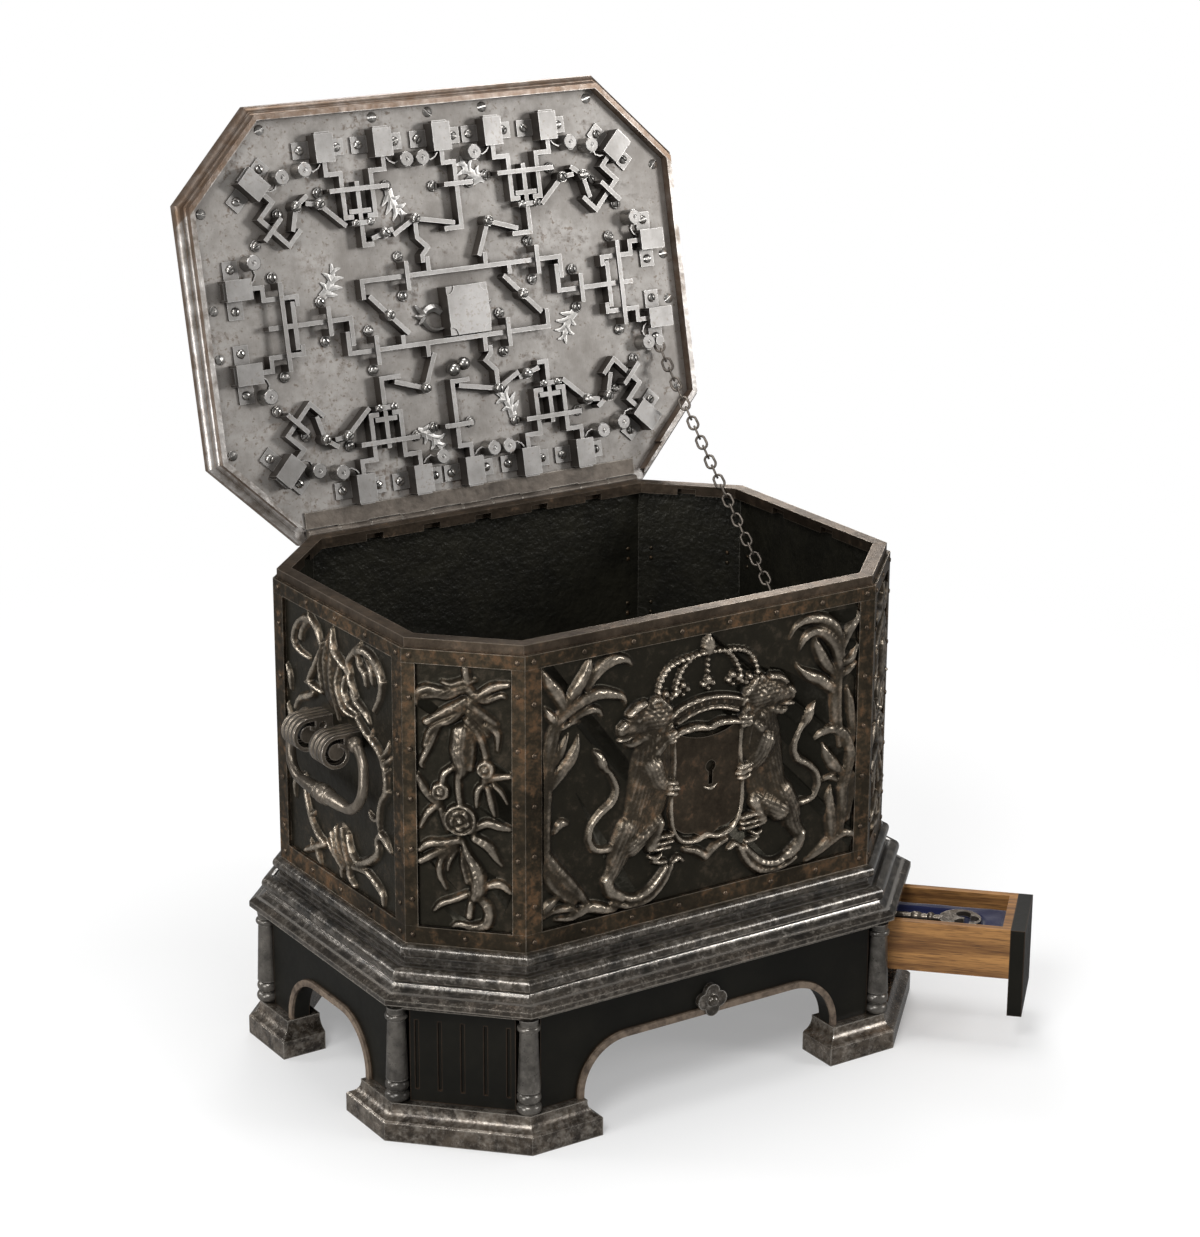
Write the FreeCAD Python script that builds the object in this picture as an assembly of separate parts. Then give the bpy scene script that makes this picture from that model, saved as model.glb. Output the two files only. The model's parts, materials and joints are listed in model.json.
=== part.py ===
import FreeCAD, Part
import math
import os

# Strongbox with an octagonal iron case, a lid that carries an eighteen-bolt lock, and a stand with a hidden
# drawer. Millimetres, +Z up, front to -Y, origin on the floor below the middle of the case.

# Case
case_width = 600.0
case_depth = 440.0
corner_cut = 86.0
rim_top = 531.0
rim_height = 12.0
rim_width = 14.6
catch_roof = 4.5
panel_bottom = 206.0
panel_thickness = 3.0
frame_thickness = 4.0
side_strip = 18.0
corner_strip = 12.0
top_strip = 15.0
bottom_strip = 19.0
frame_ledge = 10.0
floor_thickness = 4.0

# Base moulding of the case and top board of the stand
board_top = 160.0
board_thickness = 17.0
moulding_seat = 20.0
upper_roll = 14.0
upper_roll_out = 12.5
roll_fillet = 9.0
lower_roll = 15.0
lower_roll_out = 24.0
cove_out = 30.0
cornice_out = 37.0
cornice_neck_out = 27.0

# Stand
apron_out = 20.0
apron_thickness = 18.0
corner_panel_thickness = 16.0
foot_height = 38.0
plinth_height = 22.0
plinth_out = 41.0
foot_neck_out = 28.0
foot_depth = 38.0
front_arch_half = 158.0
end_arch_half = 82.0
arch_top = 94.0
arch_round = 52.0
arch_bead = 7.0
arch_bead_rise = 4.0
foot_set_in = 1.0
column_ring = 13.2
column_upper_ring = 12.6
column_neck = 9.5
column_swell = 12.0
column_waist = 9.0
column_ball = 12.0
column_collar = 2.6
column_collar_drop = 14.0
column_gap = 0.4
flute_count = 5
flute_radius = 1.9
flute_pitch = 24.0
flute_margin = 14.0

# Drawer, behind the front right corner of the stand
drawer_half = 52.0
drawer_front_thickness = 16.0
drawer_floor = 82.0
drawer_length = 205.0
drawer_side = 9.0
drawer_base = 5.0
drawer_drop = 4.0
drawer_pull = 156.0
drawer_gap = 0.6
bed_drop = 15.0
bed_recess = 7.0
key_forward_share = 0.73
cheek_thickness = 7.0
runner_width = 9.0
runner_height = 7.0

# Key
key_length = 150.0
bow_width = 46.0
bow_thickness = 6.0
shank_radius = 4.2
collar_rise = 2.0
bit_length = 20.0
bit_depth = 24.0

# Lid
lip_gap = 1.0
lip_thickness = 6.0
back_lip_gap = 3.4
back_lip_run = 32.0
plate_rise = 2.5
plate_thickness = 2.5
lid_thickness = 13.0
lid_wall = 4.0
lid_edge_out = 17.5
open_angle = 102.7
seat_gap = 0.4

# Lid hinge
hinge_out = 6.4
hinge_drop = 0.7
knuckle_radius = 4.8
hinge_pin_radius = 2.2
hinge_clearance = 0.05
knuckle_count = 11
knuckle_gap = 0.5
leaf_thickness = 2.2
case_leaf_height = 30.0
lid_leaf_width = 18.0

# Lock: bolts and keepers, laid out on the plate with +Y towards the front edge of the lid
throw = 10.0
corner_throw = 9.0
bolt_reach = 2.0
bolt_width = 18.0
bolt_low = 8.0
bolt_high = 16.0
keeper_length = 31.0
keeper_wall = 2.0
keeper_height = 19.0
keeper_roof = 2.5
ear_gap = 1.7
keeper_ear_length = 18.0
keeper_ear_thickness = 2.5
bolt_clearance = 0.3
front_keeper_inset = 35.0
end_keeper_inset = 35.5
corner_inset_x = 26.0
corner_inset_y = 23.0
plan_half_width = 264.5
plan_half_depth = 185.0
pair_middle = 106.0
pair_keeper_half = 36.0
pair_shaft_half = 18.5
end_keeper_half = 45.0
end_shaft_half = 31.0
single_keeper_x = 4.0
single_shaft_x = 18.0
hook_y = 108.0
hook_length = 10.0
end_hook_back = 68.5
single_foot_y = 84.0
single_foot_length = 22.0
left_foot_y = 76.6
right_foot_y = 69.5
left_foot_length = 12.0
right_foot_length = 24.0
pull_top_y = 146.0
corner_shaft_shift = 24.0
corner_shaft_length = 73.0
corner_hook_length = 22.0

# Lock: bars, levers and what holds them
bar_width = 5.0
bar_low = 0.5
bar_high = 14.5
bar_gap = 0.8
draw_bar_y = 38.0
draw_bar_left = 114.8
bar_end_back = 56.0
draw_hook_drop = 20.0
end_hook_drop = 24.0
main_lug_x = 30.2
main_lug_rise = 18.0
side_lug_x = 43.0
side_lug_rise = 15.0
cross_lug_x = 72.6
cross_lug_drop = 12.0
pull_hook_rise = 30.0
lug_room = 5.8
foot_room = 5.6
rocker_room = 6.5
side_room = 7.3
hook_room = 8.8
cross_room = 6.8
cross_lug_room = 8.6
outer_in = 76.0
inner_in = 48.0
corner_pivot_drop = 28.0
inner_tip_in = 41.0
inner_tip_drop = 54.0
main_place = (-40.0, 99.0)
main_left_place = (-68.5, 84.0)
main_left_reach = 28.8
rocker_place = (-79.0, 87.4)
rocker_left_x = 95.6
rocker_short = 10.8
side_place = (52.0, 87.0)
cross_place = (-86.0, -2.0)
cross_arm = 26.385
outer_arm = 37.037
outer_left_reach = 16.0
inner_arm = 28.09
inner_right_reach = 15.0
inner_right_rise = 10.5
post_radius = 3.0
post_clearance = 0.05
boss_radius = 6.0
post_head_radius = 5.5
post_head = 2.5
strap_rise = 16.0
strap_thickness = 3.0
strap_width = 5.0
strap_foot = 8.0
strap_over = 14.0
short_strap_half = 10.0
short_strap_back = 7.0
pair_strap_back = 8.0
end_strap_over = 13.0
end_strap_in = 20.0
end_short_half = 12.0
end_short_back = 34.0
corner_strap_half = 12.0
corner_strap_back = 46.0
bar_guide_half = 12.0
left_guide_x = -60.0
right_guide_x = 108.0
spring_post_radius = 8.5
spring_post_height = 18.0
spring_post_side = 27.0
spring_post_back = 21.0
spring_thickness = 1.2
lock_case_x = 11.0
lock_case_y = -6.5
lock_case_width = 52.0
lock_case_depth = 54.0
lock_case_height = 20.0
lock_case_wall = 2.0
keyhole_radius = 5.2
keyhole_slot = 15.0
keyhole_slot_width = 5.0

# Stay chain
link_count = 30
link_wire = 1.35
link_width = 10.5
chain_sag = 5.0
chain_corner_gap = 6.6
chain_lift = 9.0
chain_lid_gap = 7.0
chain_lid_in = 3.0
chain_end_z = 392.0
staple_radius = 1.8
staple_length = 15.0
staple_gap = 1.5
link_play = 0.6

# Handles
handle_z = 395.0
handle_out = 12.0
bracket_middle = 30.0
bracket_width = 28.0
bracket_strap = 4.0
volute_radius = 16.0
volute_core = 9.0
volute_out = 28.0
volute_drop = 8.0
bail_pin_radius = 4.0
bail_clearance = 0.05
bail_ball = 8.5
bail_ball_y = 53.0
bail_wire = 5.5
bail_half = 77.0
bail_corner_half = 50.0
bail_shoulder = 7.0
bail_belly = 6.0
bail_drop = 69.0
bail_tilt = 8.0
grip_radius = 7.5
grip_half = 38.0
knop_radius = 10.5
knop_half = 8.0
knop_bead = 3.0
knop_bead_rise = 2.0

# Shield and rosette on the front
shield_width = 89.0
shield_height = 125.0
shield_middle_x = 4.0
shield_middle_z = 344.5
shield_thickness = 4.0
shield_shoulder = 7.0
shield_scoop = 12.0
shield_tail = 10.0
shield_hole_x = 4.0
shield_hole_z = 17.5
shield_hole_radius = 6.0
shield_slot_drop = 20.0
rosette_z = 109.0
rosette_petal = 9.0
rosette_spread = 9.0
rosette_thickness = 6.0

# Cut leaves on the plate, each beside a strap
leaf_size = 34.0
leaf_plate = 2.0
leaf_stud = 5.0
left_leaf_turn = 150.0
right_leaf_turn = 200.0
end_leaf_turn = 60.0
left_leaf_gap = 30.5
left_leaf_drop = 8.0
right_leaf_gap = 7.5
right_leaf_drop = 6.0
end_leaf_in = 6.0
end_leaf_drop = 40.0

root_half = math.sqrt(0.5)
up = FreeCAD.Vector(0, 0, 1)
front, front_right, right, back_right, back, back_left, left, front_left = range(8)
nodes = {}


def point(x, y, z=0.0):
    return FreeCAD.Vector(x, y, z)


def outward(start, end):
    along = end.sub(start)
    along.normalize()
    return point(along.y, -along.x)


# Moves a path sideways, to its right, with mitred corners
def outset(path, distance, closed=False):
    moved = []
    count = len(path)
    for index, corner in enumerate(path):
        normals = []
        if closed or index > 0:
            normals.append(outward(path[index - 1], corner))
        if closed or index < count - 1:
            normals.append(outward(corner, path[(index + 1) % count]))
        shift = normals[0]
        if len(normals) == 2:
            shift = (normals[0] + normals[1]) * (1.0 / (1.0 + normals[0].dot(normals[1])))
        moved.append(corner + shift * distance)
    return moved


# Outline of the case, counterclockwise from the left end of the front
def octagon(offset):
    a = case_width / 2
    b = case_depth / 2
    c = corner_cut
    corners = [point(c - a, -b), point(a - c, -b), point(a, c - b), point(a, b - c),
               point(a - c, b), point(c - a, b), point(-a, b - c), point(-a, c - b)]
    return outset(corners, offset, True)


def prism(corners, low, high):
    ring = [point(p.x, p.y, low) for p in corners]
    face = Part.Face(Part.makePolygon(ring + ring[:1]))
    return face.extrude(up * (high - low))


def box(x0, x1, y0, y1, z0, z1):
    return Part.makeBox(x1 - x0, y1 - y0, z1 - z0, point(x0, y0, z0))


def rod(radius, start, end):
    run = end.sub(start)
    return Part.makeCylinder(radius, run.Length, start, run)


def fused(shapes):
    return shapes[0].fuse(shapes[1:]).removeSplitter() if len(shapes) > 1 else shapes[0]


def group(shapes):
    return Part.Compound(shapes)


def plate(offset, low, high):
    return prism(octagon(offset), low, high)


# One mitred side of the octagon, between two offsets
def slab(side, inner, outer, low, high):
    a = octagon(inner)
    b = octagon(outer)
    after = (side + 1) % 8
    return prism([a[side], b[side], b[after], a[after]], low, high)


def side_length(side, offset):
    ring = octagon(offset)
    return ring[(side + 1) % 8].sub(ring[side]).Length


# Places a shape made along a side (x along it, y up, z outwards) on that side
def on_side(shape, side, offset):
    ring = octagon(offset)
    start = ring[side]
    end = ring[(side + 1) % 8]
    along = end.sub(start)
    along.normalize()
    out = outward(start, end)
    middle = (start + end) * 0.5
    matrix = FreeCAD.Matrix(along.x, 0, out.x, middle.x, along.y, 0, out.y, middle.y, 0, 1, 0, 0)
    placed = shape.copy()
    placed.Placement = FreeCAD.Placement(matrix).multiply(placed.Placement)
    return placed


# Closed outline from points; a pair of points is an arc through the first to the second
def outline(steps, place):
    edges = []
    at = steps[0]
    for step in steps[1:] + steps[:1]:
        if isinstance(step[0], tuple):
            edges.append(Part.Arc(place(*at), place(*step[0]), place(*step[1])).toShape())
            at = step[1]
        else:
            edges.append(Part.LineSegment(place(*at), place(*step)).toShape())
            at = step
    return Part.Face(Part.Wire(edges))


# Runs a profile of (offset, height) along a path with mitred corners
def moulding(path, steps, closed):
    flat = []
    for step in steps:
        flat += list(step) if isinstance(step[0], tuple) else [step]
    low_out = min(p[0] for p in flat)
    high_out = max(p[0] for p in flat) + 1.0
    low = min(p[1] for p in flat)
    high = max(p[1] for p in flat) + 1.0
    inner = outset(path, low_out - 1.0, closed)
    outer = outset(path, high_out, closed)
    count = len(path)
    pieces = []
    for index in range(count if closed else count - 1):
        start = path[index]
        after = (index + 1) % count
        along = path[after].sub(start)
        spare = along * (2.0 * high_out / along.Length)
        out = outward(start, path[after])
        face = outline(steps, lambda d, z: start - spare + out * d + up * z)
        run = face.extrude(along + spare * 2.0)
        pieces.append(run.common(prism([inner[index], outer[index], outer[after], inner[after]], low - 1.0, high)))
    return fused(pieces)


def turned_solid(steps, axis_at, axis):
    across = point(1, 0) if abs(axis.x) < 0.5 else point(0, 1)
    face = outline(steps, lambda r, h: axis_at + across * r + axis * h)
    return face.revolve(axis_at, axis, 360)


# Flat bar along a path, square cut, between two heights
def strip(path, width, low, high):
    corners = [point(x, y) for x, y in path]
    return prism(outset(corners, width / 2) + outset(corners, -width / 2)[::-1], low, high)


def turned(shape, angle):
    copy = shape.copy()
    copy.rotate(point(0, 0), up, angle)
    return copy


def moved(shape, x, y, z=0.0):
    copy = shape.copy()
    copy.translate(point(x, y, z))
    return copy


def mirrored(shape):
    return shape.mirror(point(0, 0), point(1, 0))


# Case
half_width = case_width / 2
half_depth = case_depth / 2
rim_low = rim_top - rim_height
frame_top = rim_top - frame_ledge
board_low = board_top - board_thickness
plate_z = rim_top + plate_rise
hinge_y = half_depth + hinge_out
hinge_z = rim_top - hinge_drop
drawer_top = board_low - drawer_drop

# Lock plan: the keepers stand at a fixed inset from the edge, and what lies between them spreads with the plate
end_keeper_x = half_width - end_keeper_inset
front_keeper_y = half_depth - front_keeper_inset
corner_keeper_x = half_width - corner_cut / 2 - corner_inset_x
corner_keeper_y = half_depth - corner_cut / 2 - corner_inset_y
spread_x = end_keeper_x / plan_half_width
spread_y = front_keeper_y / plan_half_depth
pair_x = spread_x * pair_middle
pair_keeper_x = spread_x * pair_keeper_half
pair_tail_x = spread_x * pair_shaft_half
single_x = spread_x * single_keeper_x
single_tail_x = spread_x * single_shaft_x
pair_hook = spread_y * hook_y
single_foot = spread_y * single_foot_y
left_foot = spread_y * left_foot_y
right_foot = spread_y * right_foot_y
pull_top = spread_y * pull_top_y
bar_y = spread_y * draw_bar_y
bar_left = spread_x * draw_bar_left
main_lug = spread_x * main_lug_x
side_lug = spread_x * side_lug_x
cross_lug = spread_x * cross_lug_x
end_hook_x = end_keeper_x - end_hook_back
bar_right = end_hook_x - bar_end_back
keeper_half = bolt_width / 2 + bolt_clearance
keeper_ear = (pair_x - pair_keeper_x - single_x) / 2 - keeper_half - keeper_wall - ear_gap


def spread(x, y):
    return (spread_x * x, spread_y * y)


def wall(side):
    return slab(side, -panel_thickness, 0.0, panel_bottom, rim_low)


def panel_frame(side):
    half = side_length(side, 0.0) / 2
    upright = corner_strip if side % 2 else side_strip
    low = panel_bottom + bottom_strip
    high = frame_top - top_strip
    ends = slab(side, 0.0, frame_thickness, low, high)
    window = Part.makeBox(2 * (half - upright), high - low, 3 * frame_thickness,
                          point(upright - half, low, -frame_thickness))
    level = [slab(side, 0.0, frame_thickness, panel_bottom, low), slab(side, 0.0, frame_thickness, high, frame_top)]
    return level + ends.cut(on_side(window, side, 0.0)).Solids


def base_moulding():
    roll_low = panel_bottom - upper_roll
    fillet_low = roll_low - roll_fillet
    lower_low = fillet_low - lower_roll
    steps = [(-moulding_seat, panel_bottom), (frame_thickness + 2, panel_bottom),
             ((upper_roll_out, panel_bottom - upper_roll / 2), (frame_thickness + 2, roll_low)),
             (frame_thickness + 2, fillet_low + 2), (frame_thickness + 6, fillet_low),
             ((lower_roll_out, fillet_low - lower_roll / 2), (lower_roll_out - 5, lower_low)),
             ((cove_out - 6.4, board_top + 2.6), (cove_out, board_top)), (-moulding_seat, board_top)]
    return moulding(octagon(0.0), steps, True)


def stand_top():
    steps = [(0.0, board_top), (cove_out + 1, board_top), (cornice_out, board_top - 4),
             (cornice_out, board_top - 10), ((cornice_neck_out + 3, board_low + 5), (cornice_neck_out, board_low)),
             (0.0, board_low)]
    return fused([moulding(octagon(0.0), steps, True), plate(0.5, board_low, board_top)])


def shield():
    w = shield_width / 2
    h = shield_height / 2
    deep = 3 * shield_thickness
    eye = Part.makeCylinder(shield_hole_radius, deep, point(shield_hole_x, shield_hole_z, -shield_thickness))
    slot_at = point(shield_hole_x - keyhole_slot_width / 2, shield_hole_z - shield_slot_drop, -shield_thickness)
    hole = fused([eye, Part.makeBox(keyhole_slot_width, shield_slot_drop, deep, slot_at)])
    steps = [(-0.62 * w, h - shield_shoulder), ((0.0, h - shield_scoop), (0.62 * w, h - shield_shoulder)), (w, h),
             ((0.88 * w, 0.5 * h), (0.96 * w, -0.1 * h)), ((0.86 * w, -0.7 * h), (0.36 * w, shield_tail - h)),
             (0.0, -h), (-0.36 * w, shield_tail - h), ((-0.86 * w, -0.7 * h), (-0.96 * w, -0.1 * h)),
             ((-0.88 * w, 0.5 * h), (-w, h))]
    body = outline(steps, lambda x, y: point(x, y)).extrude(up * shield_thickness)
    return on_side(moved(body.cut(hole), shield_middle_x, shield_middle_z), front, 0.0)


# Stand
def arch(half, grow, depth):
    low = foot_height - 2
    r = arch_round + grow
    w = half + grow
    top = arch_top + grow
    mid = r * root_half
    steps = [(-w, low), (-w, top - r), ((r - w - mid, top - r + mid), (r - w, top)), (w - r, top),
             ((w - r + mid, top - r + mid), (w, top - r)), (w, low)]
    return outline(steps, lambda x, y: point(x, y)).extrude(up * depth)


def column_places():
    return octagon(apron_out)


def column_room():
    return [rod(column_ring + column_gap, point(p.x, p.y, foot_height), point(p.x, p.y, board_low))
            for p in column_places()]


def apron(side, half):
    body = slab(side, apron_out - apron_thickness, apron_out, foot_height, board_low)
    gap = on_side(moved(arch(half, 0.0, 3 * apron_thickness), 0, 0, -2 * apron_thickness), side, apron_out)
    return body.cut([gap] + column_room())


def apron_bead(side, half):
    gap = moved(arch(half, 0.0, 3 * arch_bead_rise), 0, 0, -arch_bead_rise)
    ring = arch(half, arch_bead, arch_bead_rise).cut(gap)
    low = Part.makeBox(4 * half, foot_height, 4 * arch_bead_rise, point(-2 * half, 0, -arch_bead_rise))
    return on_side(ring.cut(low), side, apron_out).cut(rosette())


# Upright grooves with round ends, cut from a face at z = 0
def flutes(low, high):
    cuts = []
    for index in range(flute_count):
        x = (index - (flute_count - 1) / 2) * flute_pitch
        groove = rod(flute_radius, point(x, low + flute_margin, 0), point(x, high - flute_margin, 0))
        cuts.append(groove)
    return cuts


def corner_panel(side):
    body = slab(side, apron_out - corner_panel_thickness, apron_out, foot_height, board_low)
    return body.cut([on_side(cut, side, apron_out) for cut in flutes(foot_height, board_low)] + column_room())


def drawer_surround():
    half = drawer_half + drawer_gap
    body = slab(front_right, apron_out - corner_panel_thickness, apron_out, foot_height, board_low)
    gap = Part.makeBox(2 * half, drawer_top + 1 - foot_height, 3 * corner_panel_thickness,
                       point(-half, foot_height, -2 * corner_panel_thickness))
    return body.cut([on_side(gap, front_right, apron_out)] + column_room())


def column(place):
    h = board_low - foot_height
    ball = column_ball
    low = h - column_collar_drop
    high = h - column_collar_drop / 2
    steps = [(0.0, 0.0), (column_waist, 0.0), ((column_ring, ball / 2), (column_waist, ball)),
             ((column_upper_ring, 1.5 * ball), (column_waist, 2 * ball)), (column_swell, 2 * ball + 1),
             (column_neck, low), ((column_neck + column_collar, (low + high) / 2), (column_neck, high)),
             (column_neck + 1, h), (0.0, h)]
    return turned_solid(steps, point(place.x, place.y, foot_height), up)


def foot(side):
    ring = octagon(foot_neck_out)
    inner = foot_neck_out - foot_depth
    start = ring[side]
    end = ring[(side + 1) % 8]
    before = ring[side - 1].sub(start)
    before.normalize()
    after = ring[(side + 2) % 8].sub(end)
    after.normalize()
    long_half = {True: front_arch_half + foot_set_in, False: end_arch_half + foot_set_in}
    reach = [abs(long_half[abs(d.x) > 0.5]) for d in (before, after)]
    first = start + before * ((abs(start.x) if abs(before.x) > 0.5 else abs(start.y)) - reach[0])
    last = end + after * ((abs(end.x) if abs(after.x) > 0.5 else abs(end.y)) - reach[1])
    first_in = first + outward(first, start) * -foot_depth
    last_in = last + outward(end, last) * -foot_depth
    path = [first_in, first, start, end, last, last_in]
    core_ring = octagon(inner)
    core = prism(path + [last_in, core_ring[(side + 1) % 8], core_ring[side]][1:], 0.0, foot_height)
    reach_out = plinth_out - foot_neck_out
    steps = [(-2.0, 0.0), (reach_out, 0.0), (reach_out, plinth_height - 2), (reach_out - 2, plinth_height),
             ((3.5, plinth_height + 6), (1.5, foot_height)), (-2.0, foot_height)]
    return fused([core, moulding(path, steps, False)])


def drawer_case():
    half = drawer_half + 1.0
    low = drawer_floor - drawer_gap - runner_height
    deep = drawer_length + 10
    front_gap = apron_out - corner_panel_thickness - 4
    pieces = []
    for hand in (-1, 1):
        inner = hand * half
        outer = hand * (half + cheek_thickness)
        lip = hand * (half - runner_width)
        pieces.append(box(min(inner, outer), max(inner, outer), low, board_low, -deep, front_gap))
        pieces.append(box(min(lip, outer), max(lip, outer), low, low + runner_height, -deep, front_gap))
    pieces.append(box(-half - cheek_thickness, half + cheek_thickness, low, board_low, -deep - 6, -deep))
    return on_side(fused(pieces), front_right, 0.0)


def rosette():
    petals = []
    for turn in range(4):
        angle = math.radians(90 * turn)
        centre = point(rosette_spread * math.cos(angle), rosette_spread * math.sin(angle))
        petals.append(Part.makeCylinder(rosette_petal, rosette_thickness, centre))
    ball = Part.makeSphere(rosette_petal * 0.75, point(0, 0, rosette_thickness))
    flower = fused(petals).fuse(ball).removeSplitter()
    wide = rosette_spread + 2 * rosette_petal
    back_cut = Part.makeBox(2 * wide, 2 * wide, wide, point(-wide, -wide, -wide))
    return on_side(moved(flower.cut(back_cut), 0, rosette_z), front, apron_out)


# Drawer, drawn open; x along the corner, y up, z outwards
face_out = apron_out + drawer_pull
box_front = face_out - drawer_front_thickness
bed_top = drawer_top - bed_drop
key_y = bed_top - bed_recess + shank_radius + collar_rise + 0.2
bed_length = drawer_length - 2 * drawer_side
key_end = box_front - drawer_side - key_forward_share * (bed_length - key_length)


def on_drawer(shape):
    return on_side(shape, front_right, 0.0)


def drawer_front():
    low = foot_height + drawer_gap
    body = box(-drawer_half, drawer_half, low, drawer_top, box_front, face_out)
    return on_drawer(body.cut([moved(cut, 0, 0, face_out) for cut in flutes(low, drawer_top)]))


def drawer_box():
    back_end = box_front - drawer_length
    body = box(-drawer_half, drawer_half, drawer_floor, drawer_top, back_end, box_front)
    inside = box(drawer_side - drawer_half, drawer_half - drawer_side, drawer_floor + drawer_base, drawer_top + 1,
                 back_end + drawer_side, box_front - drawer_side)
    return on_drawer(body.cut(inside))


def drawer_bed():
    half = drawer_half - drawer_side
    body = box(-half, half, drawer_floor + drawer_base, bed_top, box_front - drawer_length + drawer_side,
               box_front - drawer_side)
    low = bed_top - bed_recess
    slot = box(-shank_radius - collar_rise - 3, bit_depth + 3, low, bed_top + 1, key_end - key_length - 4,
               key_end - bow_width / 2)
    well = Part.makeCylinder(bow_width / 2 + 3, bed_recess + 1, point(0, low, key_end - bow_width / 2), point(0, 1))
    return on_drawer(body.cut([slot, well]))


def key():
    bow_z = key_end - bow_width / 2
    r = bow_width / 2
    flat = point(0, 1)
    base = key_y - bow_thickness / 2
    ring = Part.makeCylinder(r, bow_thickness, point(0, base, bow_z), flat)
    eyes = [Part.makeCylinder(0.36 * r, 3 * bow_thickness, point(x * r, base - bow_thickness, bow_z + z * r), flat)
            for x, z in ((-0.46, 0.12), (0.46, 0.12), (0.0, 0.55))]
    shank_end = key_end - key_length
    neck = bow_z - r + 3
    collar = neck - 10
    along = point(0, 0, 1)
    start = point(0, key_y, shank_end)
    length = neck - shank_end
    rise = collar - shank_end
    s = shank_radius
    steps = [(0.0, 0.0), (s, 0.0), (s, rise - 24), ((s + 0.8 * collar_rise, rise - 18), (s, rise - 12)),
             (s, rise - 6), ((s + collar_rise, rise - 2), (s, rise + 2)), (s, length), (0.0, length)]
    shank = outline(steps, lambda d, h: start + point(d, 0) + along * h).revolve(start, along, 360)
    bit = box(0, bit_depth, key_y - 2.2, key_y + 2.2, shank_end + 4, shank_end + 4 + bit_length)
    slots = [box(bit_depth - 9, bit_depth + 1, key_y - 4, key_y + 4, shank_end + 4 + z, shank_end + 6.5 + z)
             for z in (4, 11)]
    return on_drawer(fused([ring.cut(eyes), shank, bit.cut(slots)]))


# Handles, built on the left end: x outwards from the panel, z up, then placed
def bracket_profile():
    t = bracket_strap / 2
    r = volute_radius
    cx = volute_out
    cz = -volute_drop
    top = cz + r
    inner = r - 5
    steps = [(0.0, top - t), (0.0, top + t), (cx, top + t), ((cx + r + t, cz), (cx, cz - r - t)),
             ((cx - inner - t - 1, cz - 4), (cx - 2, cz + inner - t)), (cx - 2, cz + inner - 3 * t),
             ((cx - inner + t - 1, cz - 4), (cx, cz - r + t)), ((cx + r - t, cz), (cx, top - t))]
    return outline(steps, lambda x, z: point(x, 0, z))


def bracket():
    w = bracket_width
    scroll = bracket_profile().extrude(point(0, w))
    root = box(0, handle_out + bail_pin_radius + 4, 0, w, -bail_pin_radius - 5, volute_radius - volute_drop)
    core = rod(volute_core, point(volute_out, 2, -volute_drop), point(volute_out, w - 2, -volute_drop))
    hole = rod(bail_pin_radius + bail_clearance, point(handle_out, -1, 0), point(handle_out, w + 1, 0))
    room = rod(volute_core + 1.0, point(volute_out, -1, -volute_drop), point(volute_out, w + 1, -volute_drop))
    return fused([scroll, root.cut(room), core]).cut(hole)


def bail():
    def place(y, drop):
        return point(0, y, -drop)

    pieces = []
    for hand in (-1, 1):
        top = place(hand * bail_ball_y, 0)
        bulge = place(hand * bail_half, 0.45 * bail_drop)
        corner = place(hand * bail_corner_half, bail_drop)
        legs = [Part.Arc(top, place(hand * (bail_half - bail_shoulder), 0.17 * bail_drop), bulge).toShape(),
                Part.Arc(bulge, place(hand * (bail_half - bail_belly), 0.84 * bail_drop), corner).toShape()]
        for leg in legs:
            start = leg.valueAt(leg.FirstParameter)
            run = leg.tangentAt(leg.FirstParameter)
            ring = Part.Wire(Part.Circle(start, run, bail_wire).toShape())
            pieces.append(Part.Wire(leg).makePipeShell([ring], True, False))
        pieces.append(Part.makeSphere(bail_wire, bulge))
        pieces.append(Part.makeSphere(bail_wire, corner))
        pieces.append(Part.makeSphere(bail_ball, top))
        inner = bracket_middle - bracket_width / 2 + 2
        pieces.append(rod(bail_pin_radius, place(hand * inner, 0), top))
    r = bail_wire
    g = grip_radius
    half = bail_corner_half
    bead = g + knop_bead_rise
    bead_middle = knop_half + knop_bead
    bead_end = knop_half + 2 * knop_bead
    steps = [(0.0, -half), (r, -half), ((g, -half / 2), (g, -bead_end)), ((bead, -bead_middle), (g, -knop_half)),
             ((knop_radius, 0.0), (g, knop_half)), ((bead, bead_middle), (g, bead_end)),
             ((g, half / 2), (r, half)), (0.0, half)]
    face = outline(steps, lambda d, h: place(h, bail_drop) + point(d, 0))
    grip = face.revolve(place(0, bail_drop), point(0, 1), 360)
    return fused(pieces + [grip])


# Turns a piece of the left handle from its own frame to the case: its x points out of the left end
def on_end(shape, hand):
    copy = shape.copy()
    if hand > 0:
        copy.translate(point(half_width, 0, handle_z))
        return copy
    copy.rotate(point(0, 0), up, 180)
    copy.translate(point(-half_width, 0, handle_z))
    return copy


def handle_brackets():
    pieces = []
    for hand in (-1, 1):
        for middle in (-bracket_middle, bracket_middle):
            pieces.append(on_end(moved(bracket(), 0, middle - bracket_width / 2), hand))
    return group(pieces)


def placed_bail(hand):
    hung = bail()
    hung.rotate(point(0, 0), point(0, 1), -bail_tilt)
    hung.translate(point(handle_out, 0))
    return on_end(hung, hand)


# Lid, drawn shut and then swung open about its hinge
def swung(shape):
    copy = shape.copy()
    copy.rotate(point(0, hinge_y, hinge_z), point(1, 0), -open_angle)
    return copy


# Lock pieces are drawn on the plate as on a bench, then turned under the lid
def under_lid(shape):
    copy = shape.copy()
    copy.rotate(point(0, 0), point(1, 0), 180)
    copy.translate(point(0, 0, plate_z))
    return copy


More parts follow.
